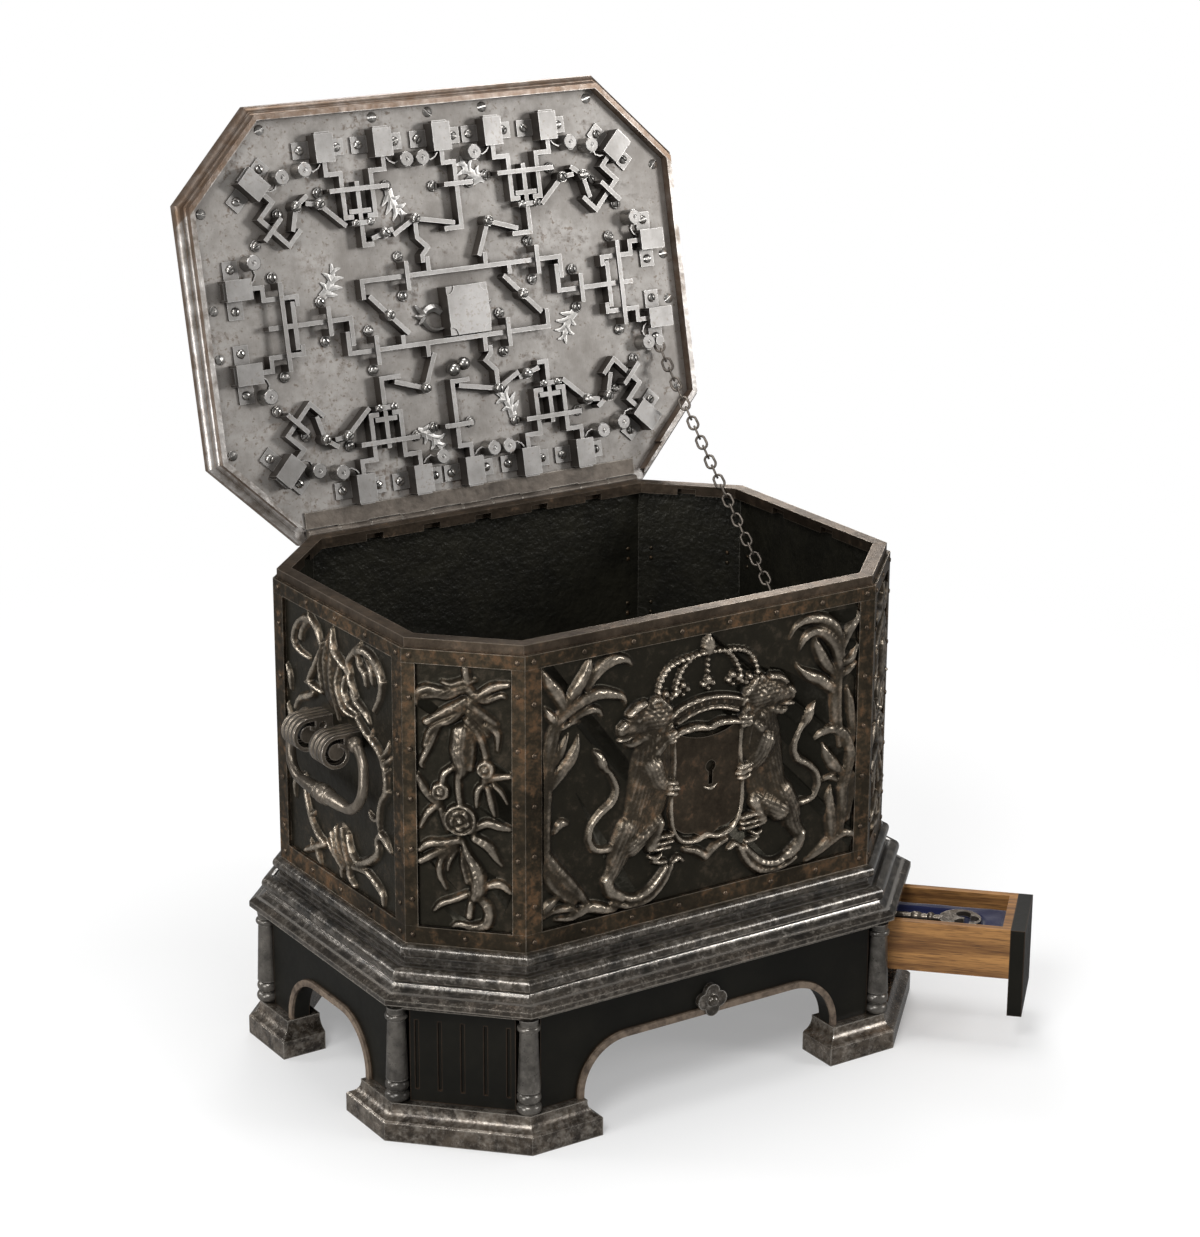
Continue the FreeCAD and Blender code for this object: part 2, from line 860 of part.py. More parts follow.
def knuckle_spans(first):
    length = side_length(back, 0.0)
    pitch = length / knuckle_count
    return [(-length / 2 + i * pitch + knuckle_gap / 2, -length / 2 + (i + 1) * pitch - knuckle_gap / 2)
            for i in range(first, knuckle_count, 2)]


def knuckles(first):
    shapes = []
    for x0, x1 in knuckle_spans(first):
        shapes.append(rod(knuckle_radius, point(x0, hinge_y, hinge_z), point(x1, hinge_y, hinge_z)))
    return shapes


def pin_hole():
    half = side_length(back, 0.0)
    return rod(hinge_pin_radius + hinge_clearance, point(-half, hinge_y, hinge_z), point(half, hinge_y, hinge_z))


def case_leaf():
    half = side_length(back, 0.0) / 2
    low = hinge_z - case_leaf_height
    face_y = half_depth + frame_thickness
    pieces = knuckles(0) + [box(-half, half, face_y, face_y + leaf_thickness, low, hinge_z - knuckle_radius - 1)]
    for x0, x1 in knuckle_spans(0):
        pieces.append(box(x0, x1, face_y, face_y + leaf_thickness, low, hinge_z))
    return fused(pieces).cut(pin_hole())


def lid_leaf():
    half = side_length(back, 0.0) / 2
    low = plate_z - leaf_thickness
    clear = knuckle_radius + 1.0
    pieces = knuckles(1) + [box(-half, half, hinge_y - clear - lid_leaf_width, hinge_y - clear, low, plate_z)]
    for x0, x1 in knuckle_spans(1):
        pieces.append(box(x0, x1, hinge_y - clear - 1, hinge_y, low, plate_z))
    return fused(pieces).cut(pin_hole())


def hinge_pin():
    half = side_length(back, 0.0) / 2
    return rod(hinge_pin_radius, point(-half, hinge_y, hinge_z), point(half, hinge_y, hinge_z))


def keyhole():
    low = rim_top - 30
    high = plate_z + plate_thickness + lid_thickness + 5
    slot = box(-keyhole_slot_width / 2, keyhole_slot_width / 2, 0, keyhole_slot, low, high)
    hole = fused([rod(keyhole_radius, point(0, 0, low), point(0, 0, high)), slot])
    return moved(hole, lock_case_x, -lock_case_y)


def barrel_room():
    half = side_length(back, 0.0) / 2 + 2
    return rod(knuckle_radius + 0.8, point(-half, hinge_y, hinge_z), point(half, hinge_y, hinge_z))


def lid_board():
    low = frame_top + seat_gap
    inner = lip_gap
    outer = lip_gap + lip_thickness
    base = plate_z + plate_thickness
    top = base + lid_thickness
    edge = lid_edge_out
    steps = [(inner, low), (outer, low), (outer, low + 5), ((outer + 1, low + 9), (outer + 4, low + 10)),
             (outer + 4, low + 12), ((edge - 1.5, low + 15), (edge, low + 20)), (edge, top - 4), (edge - 3, top),
             (inner - 3, top), (inner - 3, base), (inner, base)]
    rim = moulding(octagon(0.0), steps, True)
    half = side_length(back, 0.0) / 2 + 2 * outer
    behind = box(-half, half, half_depth - 4, half_depth + 2 * edge, low - 1, plate_z + 1.0)
    swing = plate(back_lip_gap, low - 1, plate_z).common(box(-half_width, half_width, half_depth - back_lip_run,
                                                             half_depth, low - 1, plate_z))
    hollow = plate(-lid_wall, base - 1, top - lid_wall)
    return fused([rim, plate(0.0, base, top)]).cut([behind, swing, hollow, barrel_room(), keyhole()])


def lock_plate():
    return plate(lip_gap - 0.2, plate_z, plate_z + plate_thickness).cut([barrel_room(), keyhole()])


# Bolts and keepers. A bolt is drawn moving towards +Y, its keeper's middle at (x, y)
head_back = keeper_length / 2
jog_back = head_back + throw + bar_width / 2 + 1.0


def bolt_head(x, y):
    half = bolt_width / 2
    return box(x - half, x + half, y - head_back, y + head_back + bolt_reach, bolt_low, bolt_high)


def tail(path):
    return strip(path, bar_width, bar_low, bar_high)


# A bolt of a pair: keeper and shaft on one side of the middle, hooked inwards over the pull bar
def pair_bolt(hand, middle, keeper_half, shaft_half, keeper_y, hook):
    x = middle + hand * keeper_half
    shaft = middle + hand * shaft_half
    jog = keeper_y - jog_back
    path = [(x, keeper_y), (x, jog), (shaft, jog), (shaft, hook), (shaft - hand * hook_length, hook)]
    return fused([bolt_head(x, keeper_y), tail(path)])


# The bar that pulls a pair: a stem, a cross head above the hooks and a foot to one side
def pull_bar(middle, shaft_half, hook, top, foot_y, foot_length):
    head = hook + bar_width + bar_gap
    stem = [(middle, top), (middle, foot_y), (middle + foot_length, foot_y)]
    cross = [(middle - shaft_half + bar_width, head), (middle + shaft_half - bar_width, head)]
    return fused([tail(stem), tail(cross)])


def keeper(x, y):
    half = keeper_half
    outer = half + keeper_wall
    roof = keeper_height - keeper_roof
    y0 = y - keeper_length / 2
    y1 = y + keeper_length / 2
    inside = box(x - half, x + half, y0 - 1, y1 + 1, -1, roof)
    shell = box(x - outer, x + outer, y0, y1, 0, keeper_height).cut(inside)
    ears = [box(x + a, x + b, y - keeper_ear_length / 2, y + keeper_ear_length / 2, 0, keeper_ear_thickness)
            for a, b in ((-outer - keeper_ear, -outer), (outer, outer + keeper_ear))]
    return fused([shell] + ears)


# Room that a bolt needs in the rim when it is shot
def catch_room(x, y, travel):
    half = bolt_width / 2 + 1.5
    tip = y + head_back + bolt_reach + travel + 1.0
    return box(x - half, x + half, y + head_back - 1, tip, plate_rise + catch_roof,
               plate_rise + rim_height + 1)


def spring_post(x, y, hand):
    return rod(spring_post_radius, point(x + hand * spring_post_side, y - spring_post_back, 0),
               point(x + hand * spring_post_side, y - spring_post_back, spring_post_height))


def leaf_spring(x, y, hand):
    back_y = y - spring_post_back
    path = [(x + hand * (spring_post_side - spring_post_radius + 1), back_y - 1), (x + hand * 14, back_y - 3),
            (x + hand * 8, back_y), (x + hand * 5, back_y + 4.0)]
    return strip(path, spring_thickness, bolt_low, bolt_high - 3).cut(spring_post(x, y, hand))


def strap(x0, x1, y):
    top = box(x0, x1, y - strap_width / 2, y + strap_width / 2, strap_rise, strap_rise + strap_thickness)
    feet = [box(x - strap_foot / 2, x + strap_foot / 2, y - strap_width / 2, y + strap_width / 2, 0,
                strap_rise + strap_thickness) for x in (x0, x1)]
    return fused([top] + feet)


def lever(pivot, arms):
    x, y = pivot
    pieces = [strip([pivot] + arm, bar_width, bar_low, bar_high) for arm in arms]
    boss = rod(boss_radius, point(x, y, bar_low), point(x, y, bar_high))
    hole = rod(post_radius + post_clearance, point(x, y, 0), point(x, y, bar_high + 1))
    return fused(pieces + [boss]).cut(hole)


def lever_post(pivot):
    x, y = pivot
    shank = rod(post_radius, point(x, y, 0), point(x, y, bar_high + 1))
    head = rod(post_head_radius, point(x, y, bar_high + 0.5), point(x, y, bar_high + 0.5 + post_head))
    return fused([shank, head])


# Levers of the front half: pivot, arms, and turn in radians as the bolts are shot
main_pivot = spread(*main_place)
main_drop = main_pivot[1] - (bar_y + main_lug_rise - 3)
main_turn = throw / main_drop
rocker_turn = -main_turn * main_left_reach / rocker_short
rocker_pivot = spread(*rocker_place)
side_pivot = spread(*side_place)
side_drop = side_pivot[1] - (bar_y + side_lug_rise - 1)
side_turn = throw / side_drop
cross_pivot = spread(*cross_place)
cross_turn = -throw / cross_arm
outer_pivot = (spread_x * outer_in - corner_keeper_x, corner_keeper_y - corner_pivot_drop)
outer_turn = throw / outer_arm
inner_pivot = (spread_x * inner_in - corner_keeper_x, corner_keeper_y - corner_pivot_drop)
inner_turn = -throw / inner_arm


def reach(pivot, *steps):
    return [(pivot[0] + x, pivot[1] + y) for x, y in steps]


# Where each arm meets the piece that it works
main_tip = (-main_lug - lug_room, bar_y + main_lug_rise - 6)
single_tip = (single_tail_x - 8, single_foot + foot_room)
main_left_tip = spread(*main_left_place)
rocker_right_tip = (main_left_tip[0], main_left_tip[1] + rocker_room)
rocker_left_tip = (-spread_x * rocker_left_x, left_foot + foot_room + 0.3)
side_low_tip = (side_lug - side_room, bar_y + side_lug_rise - 3)
side_right_tip = (pair_x - 16, right_foot + foot_room - 0.1)
outer_tip = (-pair_x - pair_shaft_half - 0.5, pair_hook - hook_room)
outer_left_tip = (outer_pivot[0] - outer_left_reach * spread_x, outer_pivot[1] + 2)
inner_right_tip = (inner_pivot[0] + inner_right_reach * spread_x, inner_pivot[1] + inner_right_rise)
inner_low_tip = (inner_tip_in - corner_keeper_x, corner_keeper_y - inner_tip_drop)
cross_high_tip = (cross_room - bar_left, bar_y - draw_hook_drop + 3)
cross_low_tip = (cross_lug_room - cross_lug, cross_lug_drop + 1 - bar_y)
main_bends = reach(main_pivot, (0, -21 * spread_y)) + reach(main_tip, (8, 16 * spread_y), (0, 8 * spread_y))

front_levers = {
    "main_lever": (main_pivot, [main_bends + [main_tip], [single_tip], [main_left_tip]], main_turn),
    "rocker": (rocker_pivot, [[rocker_right_tip], [rocker_left_tip]], rocker_turn),
    "side_lever": (side_pivot, [[side_low_tip], [side_right_tip]], side_turn),
    "left_outer_lever": (outer_pivot, [[outer_left_tip], [outer_tip]], outer_turn),
    "left_inner_lever": (inner_pivot, [[inner_right_tip], [inner_low_tip]], inner_turn),
}
cross_arms = [[cross_high_tip], [cross_low_tip]]


def draw_bar():
    y = bar_y
    body = [tail([(-bar_left, y - draw_hook_drop), (-bar_left, y), (bar_right, y), (bar_right, y - end_hook_drop)]),
            tail([(-main_lug, y), (-main_lug, y + main_lug_rise)]),
            tail([(side_lug, y), (side_lug, y + side_lug_rise)]),
            tail([(cross_lug, y), (cross_lug, y - cross_lug_drop)])]
    return fused(body)


front_bolt_places = [(-pair_x - pair_keeper_x, -1), (-pair_x + pair_keeper_x, 1), (single_x, -1),
                     (pair_x - pair_keeper_x, -1), (pair_x + pair_keeper_x, 1)]


def front_bolts():
    shapes = []
    for middle in (-pair_x, pair_x):
        for hand in (-1, 1):
            shapes.append(pair_bolt(hand, middle, pair_keeper_x, pair_tail_x, front_keeper_y, pair_hook))
    jog = front_keeper_y - jog_back
    path = [(single_x, front_keeper_y), (single_x, jog), (single_tail_x, jog), (single_tail_x, single_foot),
            (single_tail_x - single_foot_length, single_foot)]
    shapes.append(fused([bolt_head(single_x, front_keeper_y), tail(path)]))
    shapes.append(pull_bar(-pair_x, pair_tail_x, pair_hook, pull_top, left_foot, left_foot_length))
    shapes.append(pull_bar(pair_x, pair_tail_x, pair_hook, pull_top, right_foot, -right_foot_length))
    return shapes


def end_bolts():
    shapes = [pair_bolt(hand, 0.0, end_keeper_half, end_shaft_half, end_keeper_x, end_hook_x) for hand in (-1, 1)]
    hook_at = bar_right - bar_width - bar_gap
    head = end_hook_x + bar_width + bar_gap
    reach_across = end_shaft_half - bar_width
    stem = tail([(0, head + 32), (0, hook_at), (-pull_hook_rise, hook_at)])
    shapes.append(fused([stem, tail([(-reach_across, head), (reach_across, head)])]))
    return [turned(shape, -90) for shape in shapes]


# The left front corner, drawn with its bolt moving towards +Y, then turned by 45 degrees
corner_x = (corner_keeper_y - corner_keeper_x) * root_half
corner_y = (corner_keeper_x + corner_keeper_y) * root_half


def corner_bolt():
    jog = corner_y - jog_back
    shaft = corner_x - corner_shaft_shift
    hook = corner_y - corner_shaft_length
    path = [(corner_x, corner_y), (corner_x, jog), (shaft, jog), (shaft, hook), (shaft + corner_hook_length, hook)]
    return turned(fused([bolt_head(corner_x, corner_y), tail(path)]), 45)


def front_half(draw):
    return [draw(x, front_keeper_y, hand) for x, hand in front_bolt_places]


# Every bolt's place: shapes drawn by a rule at each keeper, for both halves of the lock
def at_every_bolt(draw):
    half = front_half(draw)
    half += [turned(draw(hand * end_keeper_half, end_keeper_x, hand), -90) for hand in (-1, 1)]
    corner = turned(draw(corner_x, corner_y, 1), 45)
    half += [corner, mirrored(corner)]
    return half + [turned(shape, 180) for shape in half]


def catches():
    half = front_half(lambda x, y, hand: catch_room(x, y, throw))
    half += [turned(catch_room(hand * end_keeper_half, end_keeper_x, throw), -90) for hand in (-1, 1)]
    corner = turned(catch_room(corner_x, corner_y, corner_throw), 45)
    half += [corner, mirrored(corner)]
    return half + [turned(shape, 180) for shape in half]


def straps():
    half = []
    reach_out = pair_tail_x + strap_over
    for middle in (-pair_x, pair_x):
        half.append(strap(middle - reach_out, middle + reach_out, pull_top - pair_strap_back))
        half.append(strap(middle - short_strap_half, middle + short_strap_half, pair_hook - short_strap_back))
    half.append(strap(single_tail_x - strap_over, single_tail_x + strap_over, pull_top - strap_over))
    wide = end_shaft_half + end_strap_over
    half.append(turned(strap(-wide, wide, end_hook_x + end_strap_in), -90))
    half.append(turned(strap(-end_short_half, end_short_half, end_hook_x - end_short_back), -90))
    shaft = corner_x - corner_shaft_shift
    corner = turned(strap(shaft - corner_strap_half, shaft + corner_strap_half, corner_y - corner_strap_back), 45)
    half += [corner, mirrored(corner)]
    for middle in (spread_x * left_guide_x, spread_x * right_guide_x):
        half.append(guide_across(strap(middle - bar_guide_half, middle + bar_guide_half, bar_y), bar_y))
    return half + [turned(shape, 180) for shape in half]


# A strap turned to stand across a bar that runs along x
def guide_across(shape, y):
    middle = shape.BoundBox.Center.x
    copy = shape.copy()
    copy.rotate(point(middle, y), up, 90)
    return copy


def lock_case():
    w = lock_case_width / 2
    d = lock_case_depth / 2
    shell = box(-w, w, -d, d, 0, lock_case_height)
    inside = box(lock_case_wall - w, w - lock_case_wall, lock_case_wall - d, d - lock_case_wall, -1,
                 lock_case_height - lock_case_wall)
    ward = rod(keyhole_radius - 3, point(0, 0, 1), point(0, 0, lock_case_height - 0.5))
    return moved(fused([shell.cut(inside), ward]), lock_case_x, lock_case_y)


# Flat cut leaf: a curved stem with pointed lobes along its outer side
def leaf(size, angle):
    outer = [(0, 0), ((0.42 * size, 0.16 * size), (0.7 * size, 0.6 * size)),
             ((0.5 * size, 0.34 * size), (0, 0.16 * size))]
    thick = leaf_plate
    pieces = [outline(outer, lambda x, y: point(x, y)).extrude(up * thick)]
    for share, length in ((0.25, 0.26), (0.45, 0.34), (0.62, 0.3)):
        root = point(0.85 * size * share, 0.06 * size + 0.5 * size * share * share)
        tip = root + point(length * size, -0.55 * length * size)
        side = point(0.05 * size, 0.09 * size)
        pieces.append(prism([root - side, tip, root + side], 0, thick))
    pieces.append(Part.makeCylinder(leaf_stud, thick, point(0, 0.08 * size)))
    return turned(fused(pieces), angle)


def ornaments():
    strap_end = pair_tail_x + strap_over
    strap_y = pull_top - pair_strap_back
    end_x = end_hook_x - end_short_back + end_leaf_in
    half = [moved(leaf(leaf_size, left_leaf_turn), strap_end + left_leaf_gap - pair_x, strap_y - left_leaf_drop),
            moved(leaf(leaf_size, right_leaf_turn), pair_x - strap_end - right_leaf_gap, strap_y - right_leaf_drop),
            moved(leaf(leaf_size, end_leaf_turn), end_x, -end_short_half - end_leaf_drop)]
    return half + [turned(shape, 180) for shape in half]


# Chain from a screw on the lid to a staple on the right end, sagging between them
chain_lid = point(end_keeper_x - chain_lid_in, -end_keeper_half - keeper_ear - chain_lid_gap, chain_lift)
chain_start = swung(under_lid(Part.Vertex(chain_lid))).Point
chain_cross_y = half_depth - corner_cut - chain_corner_gap
chain_end_y = chain_cross_y - (chain_start.y - chain_cross_y) * (rim_top - chain_end_z) / (chain_start.z - rim_top)


def chain_screw():
    foot_at = point(chain_lid.x, chain_lid.y, 0)
    shank = rod(staple_radius, foot_at, point(chain_lid.x, chain_lid.y, 13))
    head = rod(post_head_radius, point(chain_lid.x, chain_lid.y, 12.5), point(chain_lid.x, chain_lid.y, 15))
    return fused([shank, head])


def link(inner_length):
    w = link_width / 2 - link_wire
    straight = inner_length / 2 + link_wire - w
    path = [Part.LineSegment(point(-straight, -w), point(straight, -w)).toShape(),
            Part.Arc(point(straight, -w), point(straight + w, 0), point(straight, w)).toShape(),
            Part.LineSegment(point(straight, w), point(-straight, w)).toShape(),
            Part.Arc(point(-straight, w), point(-straight - w, 0), point(-straight, -w)).toShape()]
    ring = [point(-straight, -w) + point(0, link_wire * math.cos(a), link_wire * math.sin(a))
            for a in (math.radians(60 * k + 30) for k in range(6))]
    section = Part.makePolygon(ring + ring[:1])
    return Part.Wire(path).makePipeShell([section], True, False)


def chain_ends():
    start = chain_start
    end = point(half_width - panel_thickness - staple_length, chain_end_y, chain_end_z)
    run = end.sub(start)
    run.normalize()
    return start - run * (link_wire + 1.0), end + run * (link_wire + 0.2)


def chain():
    start, end = chain_ends()
    span = end.sub(start)
    sag = span.cross(point(1, 0))
    sag.normalize()
    if sag.z > 0:
        sag = sag * -1.0

    def along(share):
        return start + span * share + sag * (4 * chain_sag * share * (1 - share))

    pitch = span.Length / link_count
    links = []
    for index in range(link_count):
        a = along(index / link_count)
        b = along((index + 1) / link_count)
        run = b.sub(a)
        shape = link(pitch + link_play)
        flat = point(1, 0) if index % 2 else run.cross(point(1, 0))
        turn = FreeCAD.Rotation(run, point(0, 0), flat, "XZY")
        shape.Placement = FreeCAD.Placement((a + b) * 0.5, turn).multiply(shape.Placement)
        links.append(shape)
    return links


def chain_staple():
    wall_x = half_width - panel_thickness
    tip = wall_x - staple_length - link_wire - staple_gap
    shank = rod(staple_radius, point(tip, chain_end_y, chain_end_z), point(wall_x, chain_end_y, chain_end_z))
    knob = rod(post_head_radius, point(tip - 2.5, chain_end_y, chain_end_z), point(tip, chain_end_y, chain_end_z))
    return fused([shank, knob])


def as_lid(shapes):
    return group([swung(under_lid(shape)) for shape in shapes])


def build():
    notches = [under_lid(shape) for shape in catches()]
    nodes["front_panel"] = wall(front)
    others = (front_right, right, back_right, back, back_left, left, front_left)
    nodes["side_panels"] = group([wall(side) for side in others] + [chain_staple()])
    nodes["floor_plate"] = plate(-panel_thickness, panel_bottom, panel_bottom + floor_thickness)
    nodes["panel_frames"] = group([bar for side in range(8) for bar in panel_frame(side)])
    nodes["top_rim"] = plate(0.0, rim_low, rim_top).cut([plate(-rim_width, rim_low - 1, rim_top + 1)] + notches)
    nodes["base_moulding"] = base_moulding()
    nodes["front_shield"] = shield()
    nodes["handle_brackets"] = handle_brackets()
    nodes["left_bail"] = placed_bail(-1)
    nodes["right_bail"] = placed_bail(1)
    nodes["case_hinge_leaf"] = case_leaf()
    nodes["hinge_pin"] = hinge_pin()

    arches = [(front, front_arch_half), (right, end_arch_half), (back, front_arch_half), (left, end_arch_half)]
    nodes["stand_top"] = stand_top()
    nodes["stand_aprons"] = group([apron(side, half) for side, half in arches]
                                  + [apron_bead(side, half) for side, half in arches])
    nodes["stand_corner_panels"] = group([corner_panel(side) for side in (front_left, back_left, back_right)]
                                         + [drawer_surround()])
    nodes["stand_columns"] = group([column(place) for place in column_places()])
    nodes["stand_feet"] = group([foot(side) for side in (front_right, back_right, back_left, front_left)])
    nodes["drawer_case"] = drawer_case()
    nodes["front_rosette"] = rosette()

    nodes["drawer_box"] = drawer_box()
    nodes["drawer_front"] = drawer_front()
    nodes["drawer_bed"] = drawer_bed()
    nodes["key"] = key()

    nodes["lid_board"] = swung(lid_board())
    nodes["lock_plate"] = swung(lock_plate())
    nodes["lid_hinge_leaf"] = swung(lid_leaf())
    nodes["bolt_keepers"] = as_lid(at_every_bolt(lambda x, y, hand: keeper(x, y)) + [chain_screw()])
    nodes["guide_straps"] = as_lid(straps())
    nodes["spring_posts"] = as_lid(at_every_bolt(spring_post))
    nodes["bolt_springs"] = as_lid(at_every_bolt(leaf_spring))
    nodes["lock_case"] = as_lid([lock_case()])
    nodes["leaf_ornaments"] = as_lid(ornaments())

    halves = (("front", "right", 0), ("back", "left", 180))
    posts = []
    for name, end_name, turn in halves:
        nodes[name + "_bolts"] = as_lid([turned(shape, turn) for shape in front_bolts()])
        nodes[end_name + "_bolts"] = as_lid([turned(shape, turn) for shape in end_bolts()])
        nodes[name + "_draw_bar"] = as_lid([turned(draw_bar(), turn)])
        other = {0: ("front_left", "front_right"), 180: ("back_right", "back_left")}[turn]
        corner = corner_bolt()
        nodes[other[0] + "_bolt"] = as_lid([turned(corner, turn)])
        nodes[other[1] + "_bolt"] = as_lid([turned(mirrored(corner), turn)])
        for lever_name, (pivot, arms, swing) in front_levers.items():
            shape = lever(pivot, arms)
            post = lever_post(pivot)
            posts.append(turned(post, turn))
            if lever_name.startswith("left_"):
                plain = lever_name[5:]
                nodes[other[0] + "_" + plain] = as_lid([turned(shape, turn)])
                nodes[other[1] + "_" + plain] = as_lid([turned(mirrored(shape), turn)])
                posts.append(turned(mirrored(post), turn))
            else:
                nodes[name + "_" + lever_name] = as_lid([turned(shape, turn)])
        crosser = lever(cross_pivot, cross_arms)
        nodes[{0: "left", 180: "right"}[turn] + "_cross_lever"] = as_lid([turned(crosser, turn)])
        posts.append(turned(lever_post(cross_pivot), turn))
    nodes["lever_posts"] = as_lid(posts)
    nodes["stay_chain"] = group(chain())


build()
os.makedirs("parts", exist_ok=True)
for node, shape in nodes.items():
    shape.exportStep(os.path.join("parts", node + ".step"))
print(len(nodes), "nodes")
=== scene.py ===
import json
import math
import bpy
import numpy as np
from mathutils import Matrix, Vector


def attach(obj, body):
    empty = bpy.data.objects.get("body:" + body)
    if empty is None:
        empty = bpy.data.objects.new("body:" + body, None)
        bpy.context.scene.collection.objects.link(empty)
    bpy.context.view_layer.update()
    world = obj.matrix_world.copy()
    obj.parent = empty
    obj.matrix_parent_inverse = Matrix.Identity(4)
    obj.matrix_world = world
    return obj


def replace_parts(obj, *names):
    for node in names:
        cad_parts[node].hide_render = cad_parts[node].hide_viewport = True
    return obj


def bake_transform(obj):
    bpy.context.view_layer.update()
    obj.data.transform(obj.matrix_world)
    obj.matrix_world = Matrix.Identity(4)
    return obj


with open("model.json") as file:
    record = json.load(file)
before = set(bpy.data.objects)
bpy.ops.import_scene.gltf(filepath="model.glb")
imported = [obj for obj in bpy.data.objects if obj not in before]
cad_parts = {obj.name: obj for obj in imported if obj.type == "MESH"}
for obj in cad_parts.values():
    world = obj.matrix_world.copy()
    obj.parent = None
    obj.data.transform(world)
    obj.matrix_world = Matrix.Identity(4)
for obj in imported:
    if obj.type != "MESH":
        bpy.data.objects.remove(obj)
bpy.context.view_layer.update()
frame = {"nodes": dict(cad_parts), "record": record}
cadNodes = frame["nodes"]
mm = 0.001
corner45 = math.sqrt(0.5)
print("frame loaded:", len(cadNodes), "nodes")


def show(name, data):
    made = bpy.data.objects.new(name, data)
    bpy.context.collection.objects.link(made)
    return made


# camera and lights
cameraSet = {
    "eye": (-1.7466, -2.7026, 1.517), "azimuth": -33.14, "elevation": 18.18, "roll": 0.24, "lens": 92.02,
    "sensor": 36.0, "clip": 50.0,
}


def makeCamera(s):
    az, el, roll = (math.radians(s[k]) for k in ("azimuth", "elevation", "roll"))
    back = Vector((math.sin(az) * math.cos(el), -math.cos(az) * math.cos(el), math.sin(el)))
    side = Vector((0, 0, 1)).cross(back).normalized()
    top = back.cross(side)
    turnedSide = math.cos(roll) * side + math.sin(roll) * top
    turnedTop = -math.sin(roll) * side + math.cos(roll) * top
    data = bpy.data.cameras.new("camera")
    data.lens = s["lens"]
    data.sensor_width = s["sensor"]
    data.sensor_fit = "AUTO"
    data.clip_end = s["clip"]
    cam = show("camera", data)
    cam.matrix_world = Matrix((turnedSide, turnedTop, back)).transposed().to_4x4()
    cam.location = s["eye"]
    bpy.context.scene.camera = cam


lampSet = [  # name, place, aim, size, watts
    ("key", (-2.3, -1.9, 2.9), (-0.05, -0.1, 0.45), 1.3, 62),
    ("fill", (2.4, -2.6, 1.7), (0.05, -0.1, 0.4), 1.1, 36),
    ("top", (0.3, 0.1, 3.2), (0.0, 0.0, 0.4), 1.6, 38),
    ("rim", (1.6, 2.3, 2.2), (0.0, 0.1, 0.5), 1.2, 26),
    ("low", (-2.6, -0.6, 0.7), (-0.2, -0.1, 0.35), 1.0, 20),
    ("side", (-2.5, 2.1, 1.6), (-0.2, 0.1, 0.45), 1.1, 30),
]


def makeLamps(lamps):
    for name, place, aim, size, watts in lamps:
        data = bpy.data.lights.new(name, "AREA")
        data.shape = "DISK"
        data.size = size
        data.energy = watts
        lamp = show(name, data)
        lamp.location = place
        lamp.rotation_euler = (Vector(aim) - Vector(place)).to_track_quat("-Z", "Y").to_euler()


# the lid in the open pose: places on the lock's plan, with +y to the front edge and +z away from the plate
lidSet = {"open": 102.7, "hinge": (0, 226.4, 530.3), "plate": 533.5}


def lidMatrix(s):
    hinge = Matrix.Translation(s["hinge"])
    swing = hinge @ Matrix.Rotation(math.radians(-s["open"]), 4, "X") @ hinge.inverted()
    return swing @ Matrix.Translation((0, 0, s["plate"])) @ Matrix.Rotation(math.pi, 4, "X")


lidPlan = lidMatrix(lidSet)
lidAcross, lidFront, lidUp = (row[:] for row in lidPlan.to_3x3().transposed())
lidMiddle = lidPlan.translation.dot(Vector(lidFront)) * mm


def onLid(x, y, z, size):
    return ((lidPlan @ Vector((x, y, z)))[:], lidUp, lidAcross, size)


def turnPlan(x, y, degrees):
    c, s = math.cos(math.radians(degrees)), math.sin(math.radians(degrees))
    return (x * c - y * s, x * s + y * c)


# shader maths on sockets
class Wire:
    def __init__(self, finish, socket):
        self.finish, self.socket = finish, socket

    def calc(self, operation, *terms):
        return self.finish.add("ShaderNodeMath", {"operation": operation}, dict(enumerate(terms)))

    def __add__(self, other): return self.calc("ADD", self, other)
    def __radd__(self, other): return self.calc("ADD", other, self)
    def __sub__(self, other): return self.calc("SUBTRACT", self, other)
    def __rsub__(self, other): return self.calc("SUBTRACT", other, self)
    def __mul__(self, other): return self.calc("MULTIPLY", self, other)
    def __rmul__(self, other): return self.calc("MULTIPLY", other, self)
    def __abs__(self): return self.calc("ABSOLUTE", self)

    def most(self, other):
        return self.calc("MAXIMUM", self, other)

    def within(self, low, high):
        return self.finish.add("ShaderNodeMapRange", {"clamp": True, "interpolation_type": "SMOOTHSTEP"},
                               {"Value": self, "From Min": low, "From Max": high})


